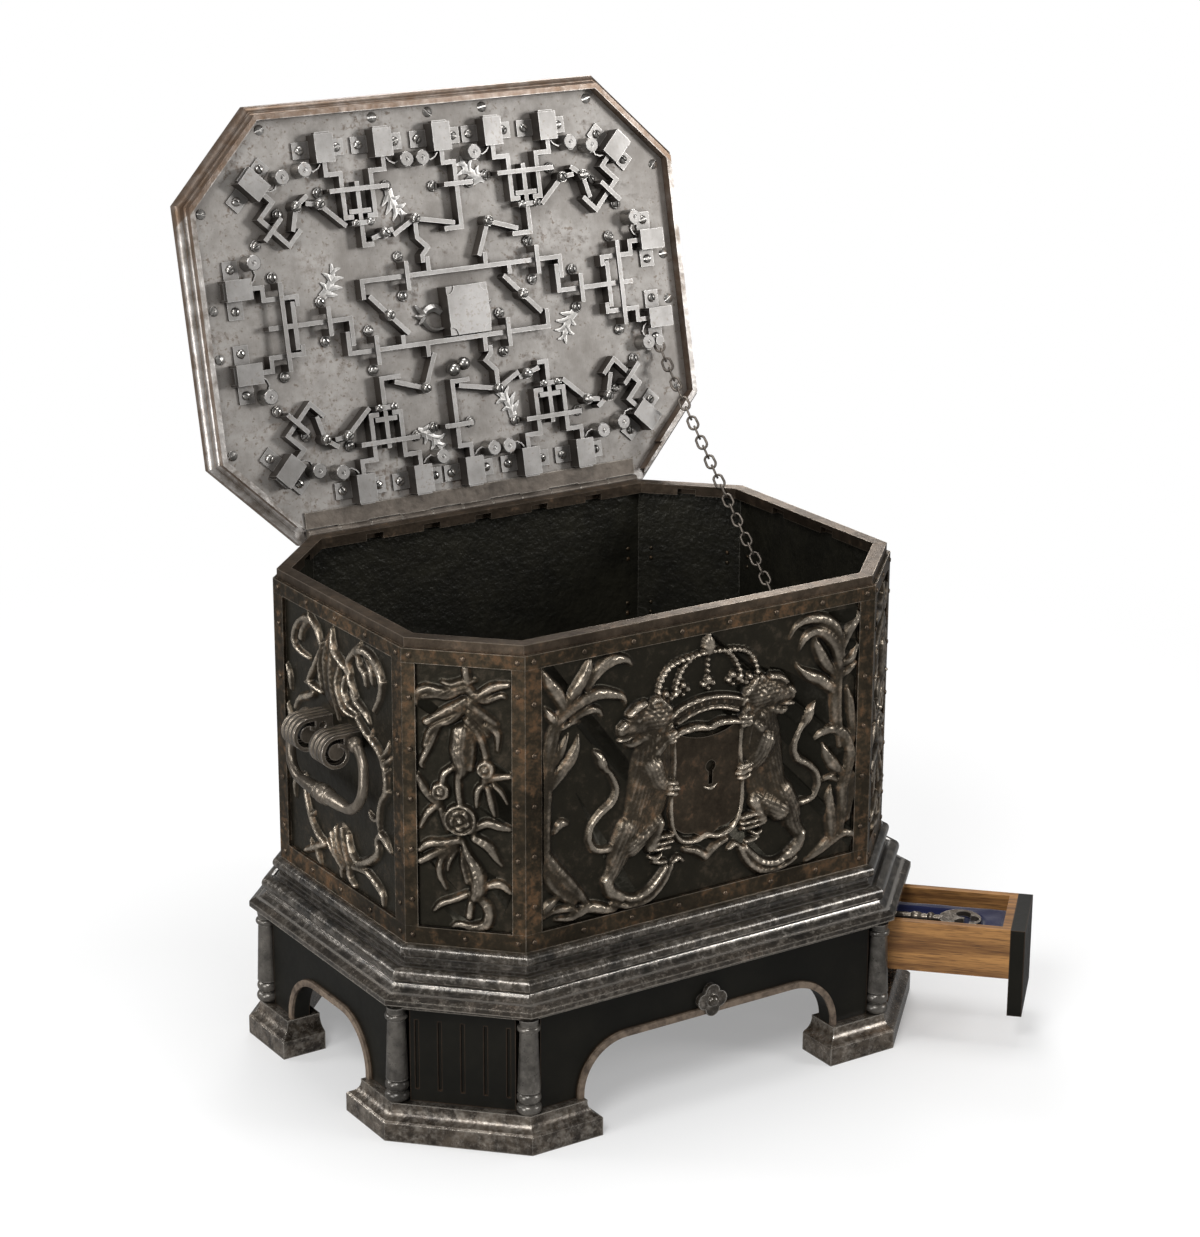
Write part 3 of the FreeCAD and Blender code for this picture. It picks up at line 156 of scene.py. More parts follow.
class Finish:
    def __init__(self, name):
        self.material = bpy.data.materials.new(name)
        self.begin(self.material, "ShaderNodeBsdfPrincipled", "ShaderNodeOutputMaterial")

    def begin(self, holder, shader, output):
        holder.use_nodes = True
        self.tree = holder.node_tree
        self.tree.nodes.clear()
        self.shader = self.tree.nodes.new(shader)
        self.output = self.tree.nodes.new(output)
        self.surface(Wire(self, self.shader.outputs[0]))

    def surface(self, wire):
        self.tree.links.new(wire.socket, self.output.inputs["Surface"])

    def plug(self, socket, value):
        if isinstance(value, Wire):
            self.tree.links.new(value.socket, socket)
        elif isinstance(value, (tuple, list)) and len(value) == 3 and socket.type == "RGBA":
            socket.default_value = (*value, 1)
        else:
            socket.default_value = value

    def add(self, kind, settings=None, sockets=None, give=0):
        node = self.tree.nodes.new(kind)
        for key, value in (settings or {}).items():
            setattr(node, key, value)
        for key, value in (sockets or {}).items():
            self.plug(node.inputs[key], value)
        return Wire(self, node.outputs[give])

    def place(self, scale=(1, 1, 1), turn=(0, 0, 0)):
        where = self.add("ShaderNodeTexCoord", None, None, "Object")
        where = self.add("ShaderNodeMapping", None, {"Vector": where, "Rotation": turn})
        return self.add("ShaderNodeMapping", None, {"Vector": where, "Scale": scale})

    def noise(self, scale, detail=4.0, rough=0.55, at=None):
        sockets = {"Scale": scale, "Detail": detail, "Roughness": rough, "Vector": at or self.place()}
        return self.add("ShaderNodeTexNoise", {"noise_dimensions": "3D"}, sockets, "Fac")

    def value(self, name):
        return self.add("ShaderNodeAttribute", {"attribute_name": name}, None, "Fac")

    def mix(self, share, first, second):
        return self.add("ShaderNodeMix", {"data_type": "RGBA"}, {0: share, 6: first, 7: second}, 2)

    def dot(self, first, second):
        return self.add("ShaderNodeVectorMath", {"operation": "DOT_PRODUCT"}, {0: first, 1: second}, "Value")

    def ray(self, kind):
        return self.add("ShaderNodeLightPath", None, None, kind)

    def whiteLight(self, kind, strength):
        return self.add(kind, None, {"Color": (1, 1, 1), "Strength": strength})

    def either(self, share, first, second):
        return self.add("ShaderNodeMixShader", None, {0: share, 1: first, 2: second})

    def edges(self, radius):
        soft = self.add("ShaderNodeBevel", {"samples": 6}, {"Radius": radius})
        hard = self.add("ShaderNodeNewGeometry", None, None, "Normal")
        return (1 - self.dot(soft, hard)).within(0.01, 0.2)

    # ambient occlusion mask of creases and contact places, used to lay painted shade there
    def creviceShade(self, distance):
        clear = self.add("ShaderNodeAmbientOcclusion", {"samples": 6}, {"Distance": distance}, "AO")
        return (1 - clear).within(0.25, 0.85)

    def facing(self, direction):
        return self.dot(self.add("ShaderNodeTexCoord", None, None, "Normal"), direction)

    def offMiddle(self, axis):
        return abs(self.add("ShaderNodeSeparateXYZ", None, {"Vector": self.place()}, axis))

    def beyond(self, x, y):
        return (self.offMiddle("X") - x).most(self.offMiddle("Y") - y).within(0.0, 0.0008)

    def lidBrim(self, front, corner):
        reach = self.dot(self.place(), lidFront) - lidMiddle
        slant = (self.offMiddle("X") + reach) * corner45 - corner
        return (reach - front).most(slant).within(0.0, 0.002)

    def bump(self, height, strength, distance, under=None):
        sockets = {"Height": height, "Strength": strength, "Distance": distance}
        if under:
            sockets["Normal"] = under
        return self.add("ShaderNodeBump", None, sockets)

    def set(self, **sockets):
        names = {"colour": "Base Color", "rough": "Roughness", "metal": "Metallic", "normal": "Normal",
                 "coat": "Coat Weight", "coatRough": "Coat Roughness", "sheen": "Sheen Weight",
                 "sheenRough": "Sheen Roughness", "specular": "Specular IOR Level"}
        for key, value in sockets.items():
            self.plug(self.shader.inputs[names[key]], value)
        return self.material


# blackened iron, rubbed bright on its high points, with rust in patches and painted shade darkening its crevices
ironSet = {
    "blackIron": {"black": (0.014, 0.0132, 0.0098), "grey": (0.034, 0.0315, 0.0215), "rust": (0.046, 0.029, 0.015),
                  "bright": (0.3, 0.28, 0.24), "share": 0.34, "rough": 0.34, "worn": 0.7, "metal": 0.4, "hammer": 0.8},
    "reliefIron": {"black": (0.044, 0.035, 0.025), "grey": (0.112, 0.088, 0.06), "rust": (0.16, 0.086, 0.04),
                   "bright": (0.61, 0.53, 0.43), "share": 0.5, "rough": 0.29, "worn": 0.68, "metal": 0.82},
    "strapIron": {"black": (0.046, 0.037, 0.026), "grey": (0.112, 0.088, 0.058), "rust": (0.148, 0.074, 0.031),
                  "bright": (0.48, 0.41, 0.33), "share": 0.54, "rough": 0.38, "worn": 0.8, "metal": 0.95},
    "shieldIron": {"black": (0.042, 0.032, 0.023), "grey": (0.112, 0.086, 0.06), "rust": (0.135, 0.066, 0.031),
                   "bright": (0.4, 0.34, 0.27), "share": 0.46, "rough": 0.38, "worn": 0.8, "metal": 0.95},
    "handleIron": {"black": (0.11, 0.092, 0.072), "grey": (0.33, 0.282, 0.228), "rust": (0.205, 0.125, 0.072),
                   "bright": (0.64, 0.58, 0.51), "share": 0.36, "rough": 0.25, "worn": 0.85, "metal": 0.75},
    "rimIron": {"black": (0.078, 0.059, 0.043), "grey": (0.205, 0.155, 0.112), "rust": (0.2, 0.108, 0.055),
                "bright": (0.54, 0.45, 0.36), "share": 0.46, "rough": 0.35, "worn": 0.85, "metal": 0.95},
    "chainIron": {"black": (0.1, 0.085, 0.072), "grey": (0.26, 0.225, 0.19), "rust": (0.17, 0.1, 0.06),
                  "bright": (0.58, 0.51, 0.44), "share": 0.45, "rough": 0.36, "worn": 0.8, "metal": 0.7},
}
ironSet["bracketIron"] = {**ironSet["handleIron"], "reeds": 40.0}
ironNoise = {"cloud": (12.0, 6.0, 0.6), "grain": (320.0, 4.0, 0.65), "flecks": (85.0, 6.0, 0.72),
             "lumps": (60.0, 4.0, 0.55), "crumbs": (240.0, 4.0, 0.7)}
# the crevice colour is painted shade laid in creases
ironShades = {"ground": (0.028, 0.0255, 0.0176), "hollow": (0.008, 0.0075, 0.007), "creviceShade": (0.008, 0.007, 0.006)}


def ironFinish(name, s):
    f = Finish(name)
    cloud, grain, flecks, lumps, crumbs = (f.noise(*n) for n in ironNoise.values())
    base = f.mix((cloud * 0.6 + flecks * 0.4).within(0.36, 0.68), s["black"], s["grey"])
    rust = cloud * 0.28 + flecks * 0.52 + lumps * 0.16 + crumbs * 0.16
    rust = rust.within(0.92 - s["share"] * 0.72, 1.08 - s["share"] * 0.72)
    base = f.mix(rust * 0.85, base, s["rust"])
    if name == "reliefIron":
        high = f.value("rub")
        worn = (high + flecks * 0.4 - 0.2).within(0.62, 1.0)
        base = f.mix((0.5 - high).within(0.02, 0.35) * 0.85, base, ironShades["hollow"])
        base = f.mix((0.12 - f.value("lift")).within(0.0, 0.1) * 0.8, base, ironShades["ground"])
    else:
        worn = (f.edges(0.0022) + flecks * 0.6 - 0.3).within(0.3, 0.95)
        # painted shade: darkened where ambient occlusion finds creases
        base = f.mix(f.creviceShade(0.012) * 0.6, base, ironShades["creviceShade"])
    base = f.mix(worn * s["worn"], base, s["bright"])
    rough = s["rough"] + grain * 0.14 - worn * 0.1 + rust * 0.16
    normal = f.bump(lumps, 0.42, 0.0022)
    if "reeds" in s:
        bands = f.add("ShaderNodeTexWave", {"bands_direction": "Y", "wave_profile": "SIN"},
                      {"Vector": f.place(), "Scale": s["reeds"], "Distortion": 0.0}, "Fac")
        normal = f.bump(bands, 1.0, 0.0036, normal)
    if "hammer" in s:
        normal = f.bump(f.noise(140.0, 3.0, 0.6), s["hammer"], 0.0022, normal)
    normal = f.bump(grain, 0.24, 0.0004, normal)
    return f.set(colour=base, metal=s["metal"] - rust * 0.4, rough=rough, normal=normal)


# filed steel, bright or dulled by brown stains, with painted shade on faces that look along the plate and in its
# crevices
steelSet = {
    "plateSteel": {"light": (0.43, 0.407, 0.382), "dark": (0.215, 0.195, 0.175), "stain": (0.135, 0.092, 0.06),
                   "share": 0.66, "rough": 0.4, "edge": (0.5, 0.47, 0.44), "metal": 0.62, "shade": 0.0},
    "brightSteel": {"light": (0.37, 0.356, 0.342), "dark": (0.215, 0.203, 0.19), "stain": (0.15, 0.1, 0.062),
                    "share": 0.34, "rough": 0.33, "edge": (0.74, 0.72, 0.69), "metal": 0.88, "shade": 0.78},
    "leafSteel": {"light": (0.52, 0.505, 0.485), "dark": (0.31, 0.295, 0.275), "stain": (0.17, 0.12, 0.08),
                  "share": 0.36, "rough": 0.32, "edge": (0.78, 0.76, 0.73), "metal": 0.8, "shade": 0.0},
    "screwSteel": {"light": (0.62, 0.6, 0.57), "dark": (0.34, 0.32, 0.295), "stain": (0.14, 0.095, 0.06),
                   "share": 0.3, "rough": 0.22, "edge": (0.7, 0.68, 0.65), "metal": 0.92, "shade": 0.35},
}
# painted shade colours: the first for faces that look along the plate, the second for crevices
steelShades = {"along": (0.055, 0.043, 0.034), "dirtAndShade": (0.040, 0.029, 0.021)}


def steelFinish(name, s):
    f = Finish(name)
    cloud = f.noise(15.0, 6.0, 0.65)
    flecks = f.noise(95.0, 6.0, 0.72)
    specks = f.noise(210.0, 3.0, 0.6)
    lines = f.noise(60.0, 3.0, 0.5, f.place((26, 1.6, 1.6)))
    base = f.mix(cloud.within(0.3, 0.68), s["dark"], s["light"])
    base = f.mix((lines - 0.25) * 0.5, base, s["light"])
    stain = (cloud * 0.5 + flecks * 0.62).within(1.02 - s["share"] * 0.7, 1.26 - s["share"] * 0.7)
    base = f.mix(stain * 0.75, base, s["stain"])
    base = f.mix((specks * 0.7 + cloud * 0.3 - 0.55).within(0.0, 0.1) * s["share"], base, s["stain"])
    # painted shade: faces turned away from the lid's up direction are darkened
    if s["shade"]:
        base = f.mix((0.85 - f.facing(lidUp)).within(0.0, 0.5) * s["shade"], base, steelShades["along"])
    # painted shade with some dirt: darkened and roughened where ambient occlusion finds creases
    dirtAndShade = f.creviceShade(0.014)
    base = f.mix(dirtAndShade * 0.7, base, steelShades["dirtAndShade"])
    worn = f.edges(0.0012)
    base = f.mix(worn * 0.6, base, s["edge"])
    rough = s["rough"] + lines * 0.12 + stain * 0.22 + dirtAndShade * 0.2 - worn * 0.08
    normal = f.bump(lines, 0.12, 0.0003)
    normal = f.bump(flecks, 0.22, 0.0006, normal)
    return f.set(colour=base, metal=s["metal"] - stain * 0.5, rough=rough, normal=normal)


# mouldings and turned pieces, polished dark and rubbed through in flecks and streaks, with painted shade darkening
# their crevices
wornSet = {
    "moulding": {"dark": (0.013, 0.011, 0.008), "mid": (0.08, 0.065, 0.048), "rust": (0.105, 0.054, 0.026),
                 "bright": (0.72, 0.67, 0.61), "share": 0.4, "rough": 0.16, "rub": 0.46, "edge": 0.5, "coat": 0.75,
                 "metal": 0.55},
    "board": {"dark": (0.015, 0.012, 0.009), "mid": (0.072, 0.057, 0.042), "rust": (0.105, 0.055, 0.027),
              "bright": (0.66, 0.6, 0.52), "share": 0.44, "rough": 0.19, "rub": 0.47, "edge": 0.5, "coat": 0.5,
              "metal": 0.55},
    "foot": {"dark": (0.03, 0.023, 0.017), "mid": (0.15, 0.117, 0.086), "rust": (0.15, 0.082, 0.043),
             "bright": (0.74, 0.68, 0.6), "share": 0.42, "rough": 0.2, "rub": 0.43, "edge": 0.5, "coat": 0.5,
             "metal": 0.55},
    "column": {"dark": (0.045, 0.041, 0.036), "mid": (0.16, 0.146, 0.128), "rust": (0.13, 0.074, 0.042),
               "bright": (0.58, 0.54, 0.49), "share": 0.34, "rough": 0.22, "rub": 0.54, "edge": 0.5, "coat": 0.3,
               "metal": 0.55},
    "lidIron": {"dark": (0.17, 0.14, 0.115), "mid": (0.57, 0.54, 0.512), "rust": (0.235, 0.155, 0.098),
                "bright": (0.86, 0.835, 0.8), "share": 0.34, "rough": 0.26, "rub": 0.5, "edge": 0.1, "coat": 0.0,
                "metal": 0.68, "side": (0.15, 0.094, 0.058), "brim": (0.2205, 0.3075),
                "outside": (0.04, 0.034, 0.026)},
    "hingeIron": {"dark": (0.08, 0.066, 0.054), "mid": (0.19, 0.16, 0.132), "rust": (0.15, 0.095, 0.058),
                  "bright": (0.46, 0.42, 0.37), "share": 0.3, "rough": 0.36, "rub": 0.62, "edge": 0.5, "coat": 0.0,
                  "metal": 0.55},
}
# painted shade colour, with some dirt, for crevices
wornDirtAndShade = (0.010, 0.0085, 0.007)


def wornFinish(name, s):
    f = Finish(name)
    cloud = f.noise(9.0, 6.0, 0.66)
    lumps = f.noise(70.0, 5.0, 0.62)
    flecks = f.noise(190.0, 5.0, 0.74)
    base = f.mix((cloud * 0.5 + lumps * 0.5).within(0.34, 0.64), s["dark"], s["mid"])
    rust = (cloud * 0.5 + lumps * 0.3 + flecks * 0.25).within(0.78 - s["share"] * 0.5, 0.92 - s["share"] * 0.5)
    base = f.mix(rust * 0.7, base, s["rust"])
    worn = (f.edges(0.003) * s["edge"] + flecks * 0.7 + lumps * 0.4 - s["rub"]).within(0.04, 0.5)
    base = f.mix(worn * 0.8, base, s["bright"])
    if "outside" in s:
        ahead = f.facing(lidUp)
        brim = f.lidBrim(*s["brim"]) + (0.5 - ahead).within(0.0, 0.35)
        base = f.mix(brim.within(0.0, 1.0) * (1.1 - lumps * 0.6), base, s["side"])
        base = f.mix((0 - ahead).within(0.3, 0.7) * (1.0 - lumps * 0.05), base, s["outside"])
    # painted shade with some dirt: darkened and roughened where ambient occlusion finds creases
    dirtAndShade = f.creviceShade(0.014)
    base = f.mix(dirtAndShade * 0.8, base, wornDirtAndShade)
    rough = s["rough"] + flecks * 0.14 + dirtAndShade * 0.2 + rust * 0.08 - worn * 0.06
    normal = f.bump(lumps, 0.35, 0.0016)
    normal = f.bump(flecks, 0.25, 0.0006, normal)
    return f.set(colour=base, metal=s["metal"] + worn * 0.3, rough=rough, normal=normal, coat=s["coat"],
                 coatRough=0.2)


# ebonised wood, rubbed to brown along its edges and on the beads of the arches
woodSet = {
    "deep": (0.0046, 0.0042, 0.0028), "high": (0.0095, 0.0084, 0.0055), "worn": (0.1, 0.06, 0.036), "edge": 0.5,
    "rough": 0.34, "bead": (0.165, 0.125, 0.092), "beadDark": (0.055, 0.04, 0.03), "arch": (0.3205, 0.2405),
}


def woodFinish(name, s, beads=False):
    f = Finish(name)
    cloud = f.noise(13.0, 6.0, 0.62)
    flecks = f.noise(130.0, 5.0, 0.7)
    lumps = f.noise(38.0, 4.0, 0.55)
    base = f.mix(cloud.within(0.3, 0.75), s["deep"], s["high"])
    worn = (f.edges(0.003) * s["edge"] + cloud * 0.3 + flecks * 0.3 + lumps * 0.2 - 0.44).within(0.12, 0.75)
    base = f.mix(worn * 0.8, base, s["worn"])
    if beads:
        rubbed = f.mix((flecks * 0.6 + lumps * 0.4).within(0.36, 0.62), s["beadDark"], s["bead"])
        base = f.mix(f.beyond(*s["arch"]), base, rubbed)
    rough = s["rough"] + flecks * 0.16
    normal = f.bump(flecks, 0.14, 0.0005, f.bump(lumps, 0.1, 0.003))
    return f.set(colour=base, rough=rough, normal=normal, specular=0.22)


# bare oak with its grain along the drawer
oakSet = {"light": (0.39, 0.192, 0.058), "dark": (0.135, 0.058, 0.017), "pore": (0.075, 0.034, 0.014),
          "turn": math.radians(45)}


def oakFinish(name, s):
    f = Finish(name)
    bands = f.noise(1.0, 4.0, 0.6, f.place((5, 85, 85), (0, 0, s["turn"])))
    fibres = f.noise(1.0, 3.0, 0.7, f.place((14, 420, 420), (0, 0, s["turn"])))
    pores = f.noise(1.0, 2.0, 0.6, f.place((45, 900, 900), (0, 0, s["turn"])))
    base = f.mix((bands * 0.6 + fibres * 0.4).within(0.36, 0.64), s["dark"], s["light"])
    base = f.mix((pores - 0.52).within(0.0, 0.16) * 0.7, base, s["pore"])
    rough = 0.46 + bands * 0.18
    return f.set(colour=base, rough=rough, normal=f.bump(pores, 0.3, 0.0004), specular=0.35)


# blue velvet with a short pile
velvetSet = {"deep": (0.006, 0.008, 0.030), "pile": (0.018, 0.022, 0.075)}


def velvetFinish(name, s):
    f = Finish(name)
    nap = f.noise(700.0, 2.0, 0.6)
    drift = f.noise(26.0, 3.0, 0.5)
    base = f.mix(drift * 0.5 + nap * 0.5, s["deep"], s["pile"])
    return f.set(colour=base, rough=0.9 + nap * 0.08, normal=f.bump(nap, 0.5, 0.0006), sheen=0.7, sheenRough=0.4,
                 specular=0.1)


# pale floor that fades into white surroundings
floorSet = {
    "colour": (0.86, 0.86, 0.86), "lift": 0.3, "near": 0.8, "far": 1.9, "reach": 14.0, "mirrored": 0.16,
}
worldSet = {"light": 0.40, "mirrored": 0.14}


class WorldFinish(Finish):
    def __init__(self, name):
        self.world = bpy.data.worlds.new(name)
        self.begin(self.world, "ShaderNodeBackground", "ShaderNodeOutputWorld")


def groundFinish(s):
    f = Finish("paleFloor")
    f.set(colour=s["colour"], rough=0.95, specular=0.0)
    where = f.add("ShaderNodeTexCoord", None, None, "Object")
    away = f.add("ShaderNodeVectorMath", {"operation": "LENGTH"}, {0: where}, "Value").within(s["near"], s["far"])
    glow, dim = (f.whiteLight("ShaderNodeEmission", strength) for strength in (1.0, s["mirrored"]))
    lit = f.either(f.ray("Is Glossy Ray") * 0.9, Wire(f, f.shader.outputs[0]), dim)
    f.surface(f.either(f.ray("Is Camera Ray") * (s["lift"] + away * (1 - s["lift"])), lit, glow))
    return f.material


def makeWorld(s):
    f = WorldFinish("studio")
    lit, mirrored, seen = (f.whiteLight("ShaderNodeBackground", k) for k in (s["light"], s["mirrored"], 1.0))
    lit = f.either(f.ray("Is Glossy Ray"), lit, mirrored)
    f.surface(f.either(f.ray("Is Camera Ray"), lit, seen))
    bpy.context.scene.world = f.world


def makeFloor(s):
    mesh = bpy.data.meshes.new("floor")
    reach = s["reach"]
    mesh.from_pydata([(-reach, -reach, 0), (reach, -reach, 0), (reach, reach, 0), (-reach, reach, 0)], [],
                     [(0, 1, 2, 3)])
    floor = show("floor", mesh)
    floor.data.materials.append(groundFinish(s))


makeCamera(cameraSet)
makeLamps(lampSet)
makeWorld(worldSet)
makeFloor(floorSet)
bpy.context.scene.view_settings.view_transform = "Standard"
print("stage set")

# finish of each node by its name, or else by its slot
finishSets = ((ironFinish, ironSet), (steelFinish, steelSet), (wornFinish, wornSet))
finishes = {name: make(name, s) for make, sets in finishSets for name, s in sets.items()}
finishes["blackWood"] = woodFinish("blackWood", woodSet)
finishes["apronWood"] = woodFinish("apronWood", woodSet, True)
finishes["oak"] = oakFinish("oak", oakSet)
finishes["velvet"] = velvetFinish("velvet", velvetSet)
slotFinish = {
    "black_iron": "blackIron", "worn_iron": "rimIron", "grey_steel": "plateSteel", "bright_steel": "brightSteel",
    "brown_wood": "board", "black_wood": "blackWood", "oak": "oak", "velvet": "velvet",
}
nodeFinish = {
    "panel_frames": "strapIron", "front_shield": "shieldIron", "handle_brackets": "bracketIron",
    "left_bail": "handleIron", "right_bail": "handleIron", "lid_board": "lidIron", "lid_hinge_leaf": "hingeIron",
    "case_hinge_leaf": "hingeIron", "hinge_pin": "hingeIron", "key": "handleIron", "base_moulding": "moulding",
    "stand_top": "board", "stand_feet": "foot", "stand_columns": "column", "front_rosette": "moulding",
    "stand_aprons": "apronWood", "spring_posts": "screwSteel", "lever_posts": "screwSteel",
}


def dressCadNodes():
    for part in frame["record"]["subparts"]:
        mesh = cadNodes[part["node"]].data
        mesh.materials.clear()
        mesh.materials.append(finishes[nodeFinish.get(part["node"], slotFinish[part["material_slot"]])])


dressCadNodes()
print("solids dressed")


# one shape set at many points: rivets, screws, post heads and chain links
def scatterTree():
    tree = bpy.data.node_groups.new("scatterShape", "GeometryNodeTree")
    tree.interface.new_socket("Geometry", in_out="INPUT", socket_type="NodeSocketGeometry")
    for label, kind in (("shape", "NodeSocketObject"), ("finish", "NodeSocketMaterial"), ("spin", "NodeSocketFloat"),
                        ("seed", "NodeSocketInt")):
        tree.interface.new_socket(label, in_out="INPUT", socket_type=kind)
    tree.interface.new_socket("Geometry", in_out="OUTPUT", socket_type="NodeSocketGeometry")

    def node(kind, settings=None, sockets=None):
        made = tree.nodes.new(kind)
        for key, value in (settings or {}).items():
            setattr(made, key, value)
        for key, value in (sockets or {}).items():
            socket = next(i for i in made.inputs if i.name == key and i.enabled)
            if isinstance(value, bpy.types.NodeSocket):
                tree.links.new(value, socket)
            else:
                socket.default_value = value
        return made

    def out(made, name):
        return next(o for o in made.outputs if o.name == name and o.enabled)

    def read(label, kind):
        return out(node("GeometryNodeInputNamedAttribute", {"data_type": kind}, {"Name": label}), "Attribute")

    given = node("NodeGroupInput")
    turn = node("FunctionNodeRandomValue", {"data_type": "FLOAT"},
                {"Min": 0.0, "Max": given.outputs["spin"], "Seed": given.outputs["seed"]})
    around = node("FunctionNodeAxisAngleToRotation", None, {"Axis": (0, 0, 1), "Angle": out(turn, "Value")})
    upright = node("FunctionNodeAlignRotationToVector", {"axis": "Z"}, {"Vector": read("aim", "FLOAT_VECTOR")})
    faced = node("FunctionNodeAlignRotationToVector", {"axis": "X", "pivot_axis": "Z"},
                 {"Rotation": out(upright, "Rotation"), "Vector": read("side", "FLOAT_VECTOR")})
    spun = node("FunctionNodeRotateRotation", {"rotation_space": "LOCAL"},
                {"Rotation": out(faced, "Rotation"), "Rotate By": out(around, "Rotation")})
    shape = node("GeometryNodeObjectInfo", None, {"Object": given.outputs["shape"]})
    many = node("GeometryNodeInstanceOnPoints", None,
                {"Points": given.outputs["Geometry"], "Instance": out(shape, "Geometry"),
                 "Rotation": out(spun, "Rotation"), "Scale": read("size", "FLOAT")})
    real = node("GeometryNodeRealizeInstances", None, {"Geometry": out(many, "Instances")})
    coated = node("GeometryNodeSetMaterial", None,
                  {"Geometry": out(real, "Geometry"), "Material": given.outputs["finish"]})
    node("NodeGroupOutput", None, {"Geometry": out(coated, "Geometry")})
    return tree


scatterGroup = scatterTree()


# spots are (place, outward, sideways, size) in millimetres
def scatter(name, shape, spots, finish, spin=0.0, seed=5):
    mesh = bpy.data.meshes.new(name + "Spots")
    mesh.from_pydata([tuple(np.array(s[0]) * mm) for s in spots], [], [])
    for label, column in (("aim", 1), ("side", 2)):
        layer = mesh.attributes.new(label, "FLOAT_VECTOR", "POINT")
        layer.data.foreach_set("vector", np.array([s[column] for s in spots], np.float32).ravel())
    layer = mesh.attributes.new("size", "FLOAT", "POINT")
    layer.data.foreach_set("value", np.array([s[3] for s in spots], np.float32))
    holder = show(name + "Spots", mesh)
    modifier = holder.modifiers.new("scatter", "NODES")
    modifier.node_group = scatterGroup
    wanted = {"shape": shape, "finish": finishes[finish], "spin": spin, "seed": seed}
    for item in scatterGroup.interface.items_tree:
        if item.in_out == "INPUT" and item.name in wanted:
            modifier[item.identifier] = wanted[item.name]
    graph = bpy.context.evaluated_depsgraph_get()
    made = bpy.data.meshes.new_from_object(holder.evaluated_get(graph))
    made.name = name
    bpy.data.objects.remove(holder)
    return show(name, made)


def rideOn(piece, body, finish=None):
    if finish:
        piece.data.materials.append(finishes[finish])
    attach(piece, body)
    return piece


def shapeOf(name, points, faces, smooth=True):
    mesh = bpy.data.meshes.new(name)
    mesh.from_pydata([tuple(c * mm for c in p) for p in points], [], faces)
    mesh.polygons.foreach_set("use_smooth", np.full(len(faces), smooth))
    return show(name, mesh)


# grid of points closed below: sunk gives the lower edge from the points of the border
def closedGrid(name, spots, sunk, flip=False):
    rows, columns = spots.shape[:2]
    corner = np.arange(rows * columns).reshape(rows, columns)
    a, b, c, d = corner[:-1, :-1], corner[:-1, 1:], corner[1:, 1:], corner[1:, :-1]
    border = np.concatenate([corner[0, :], corner[1:, -1], corner[-1, -2::-1], corner[-2:0:-1, 0]])
    ring = np.arange(len(border)) + rows * columns
    nextBorder, nextRing = np.roll(border, -1), np.roll(ring, -1)
    quads = np.stack([a, d, c, b] if flip else [a, b, c, d], -1).reshape(-1, 4)
    walls = np.stack([border, nextBorder, nextRing, ring] if flip else [nextBorder, border, ring, nextRing], -1)
    faces = [tuple(face) for face in np.vstack([quads, walls])] + [tuple(ring if flip else ring[::-1])]
    points = spots.reshape(-1, 3)
    return shapeOf(name, np.vstack([points, sunk(points[border])]).tolist(), faces)


# turned shape from (radius, height) steps, closed at the top
def turnedShape(name, steps, sides, smooth=True):
    points = [(r * math.cos(2 * math.pi * k / sides), r * math.sin(2 * math.pi * k / sides), z)
              for r, z in steps[:-1] for k in range(sides)]
    points.append((0, 0, steps[-1][1]))
    faces = [(i * sides + k, i * sides + (k + 1) % sides, (i + 1) * sides + (k + 1) % sides, (i + 1) * sides + k)
             for i in range(len(steps) - 2) for k in range(sides)]
    last = (len(steps) - 2) * sides
    faces += [(last + k, last + (k + 1) % sides, len(points) - 1) for k in range(sides)]
    return shapeOf(name, points, faces, smooth)


# slotted head in two halves, from (radius, height) levels with arc points each
def screwShape(name, levels, slot, floor, arc=7):
    points, faces = [], []
    last = len(levels) - 1
    for hand in (-1, 1):
        start = len(points)
        for radius, z in levels:
            reach = math.acos(slot / radius)
            for k in range(arc):
                a = reach * (k / (arc // 2) - 1)
                points.append((hand * radius * math.cos(a), hand * radius * math.sin(a), z))
        for i in [start + level * arc + k for level in range(last) for k in range(arc - 1)]:
            faces.append((i, i + 1, i + arc + 1, i + arc))
        faces.append(tuple(range(start + arc * last, start + arc * (last + 1))))
        rows = range(start, len(points), arc)
        wall = [*rows, *(row + arc - 1 for row in reversed(rows))]
        faces.append(tuple(range(len(points), len(points) + len(wall))))
        points += [points[i] for i in wall]
    end = math.sqrt(1 - slot * slot)
    faces.append(tuple(range(len(points), len(points) + 4)))
    points += [(-slot, -end, floor), (slot, -end, floor), (slot, end, floor), (-slot, end, floor)]
    return shapeOf(name, points, faces)


def linkShape(name, width, length, wire, sides=6, steps=16):
    bend = width / 2 - wire
    straight = length / 2 - width / 2
    points, faces = [], []
    for k in range(steps):
        a = 2 * math.pi * k / steps
        x, z = bend * math.cos(a), bend * math.sin(a) + (straight if math.sin(a) > -1e-6 else -straight)
        for j in range(sides):
            b = 2 * math.pi * j / sides
            off = wire * math.cos(b)
            points.append((x + off * math.cos(a), wire * math.sin(b), z + off * math.sin(a)))
    for k in range(steps):
        for j in range(sides):
            after, beside = (k + 1) % steps, (j + 1) % sides
            faces.append((k * sides + j, k * sides + beside, after * sides + beside, after * sides + j))
    return shapeOf(name, points, faces)


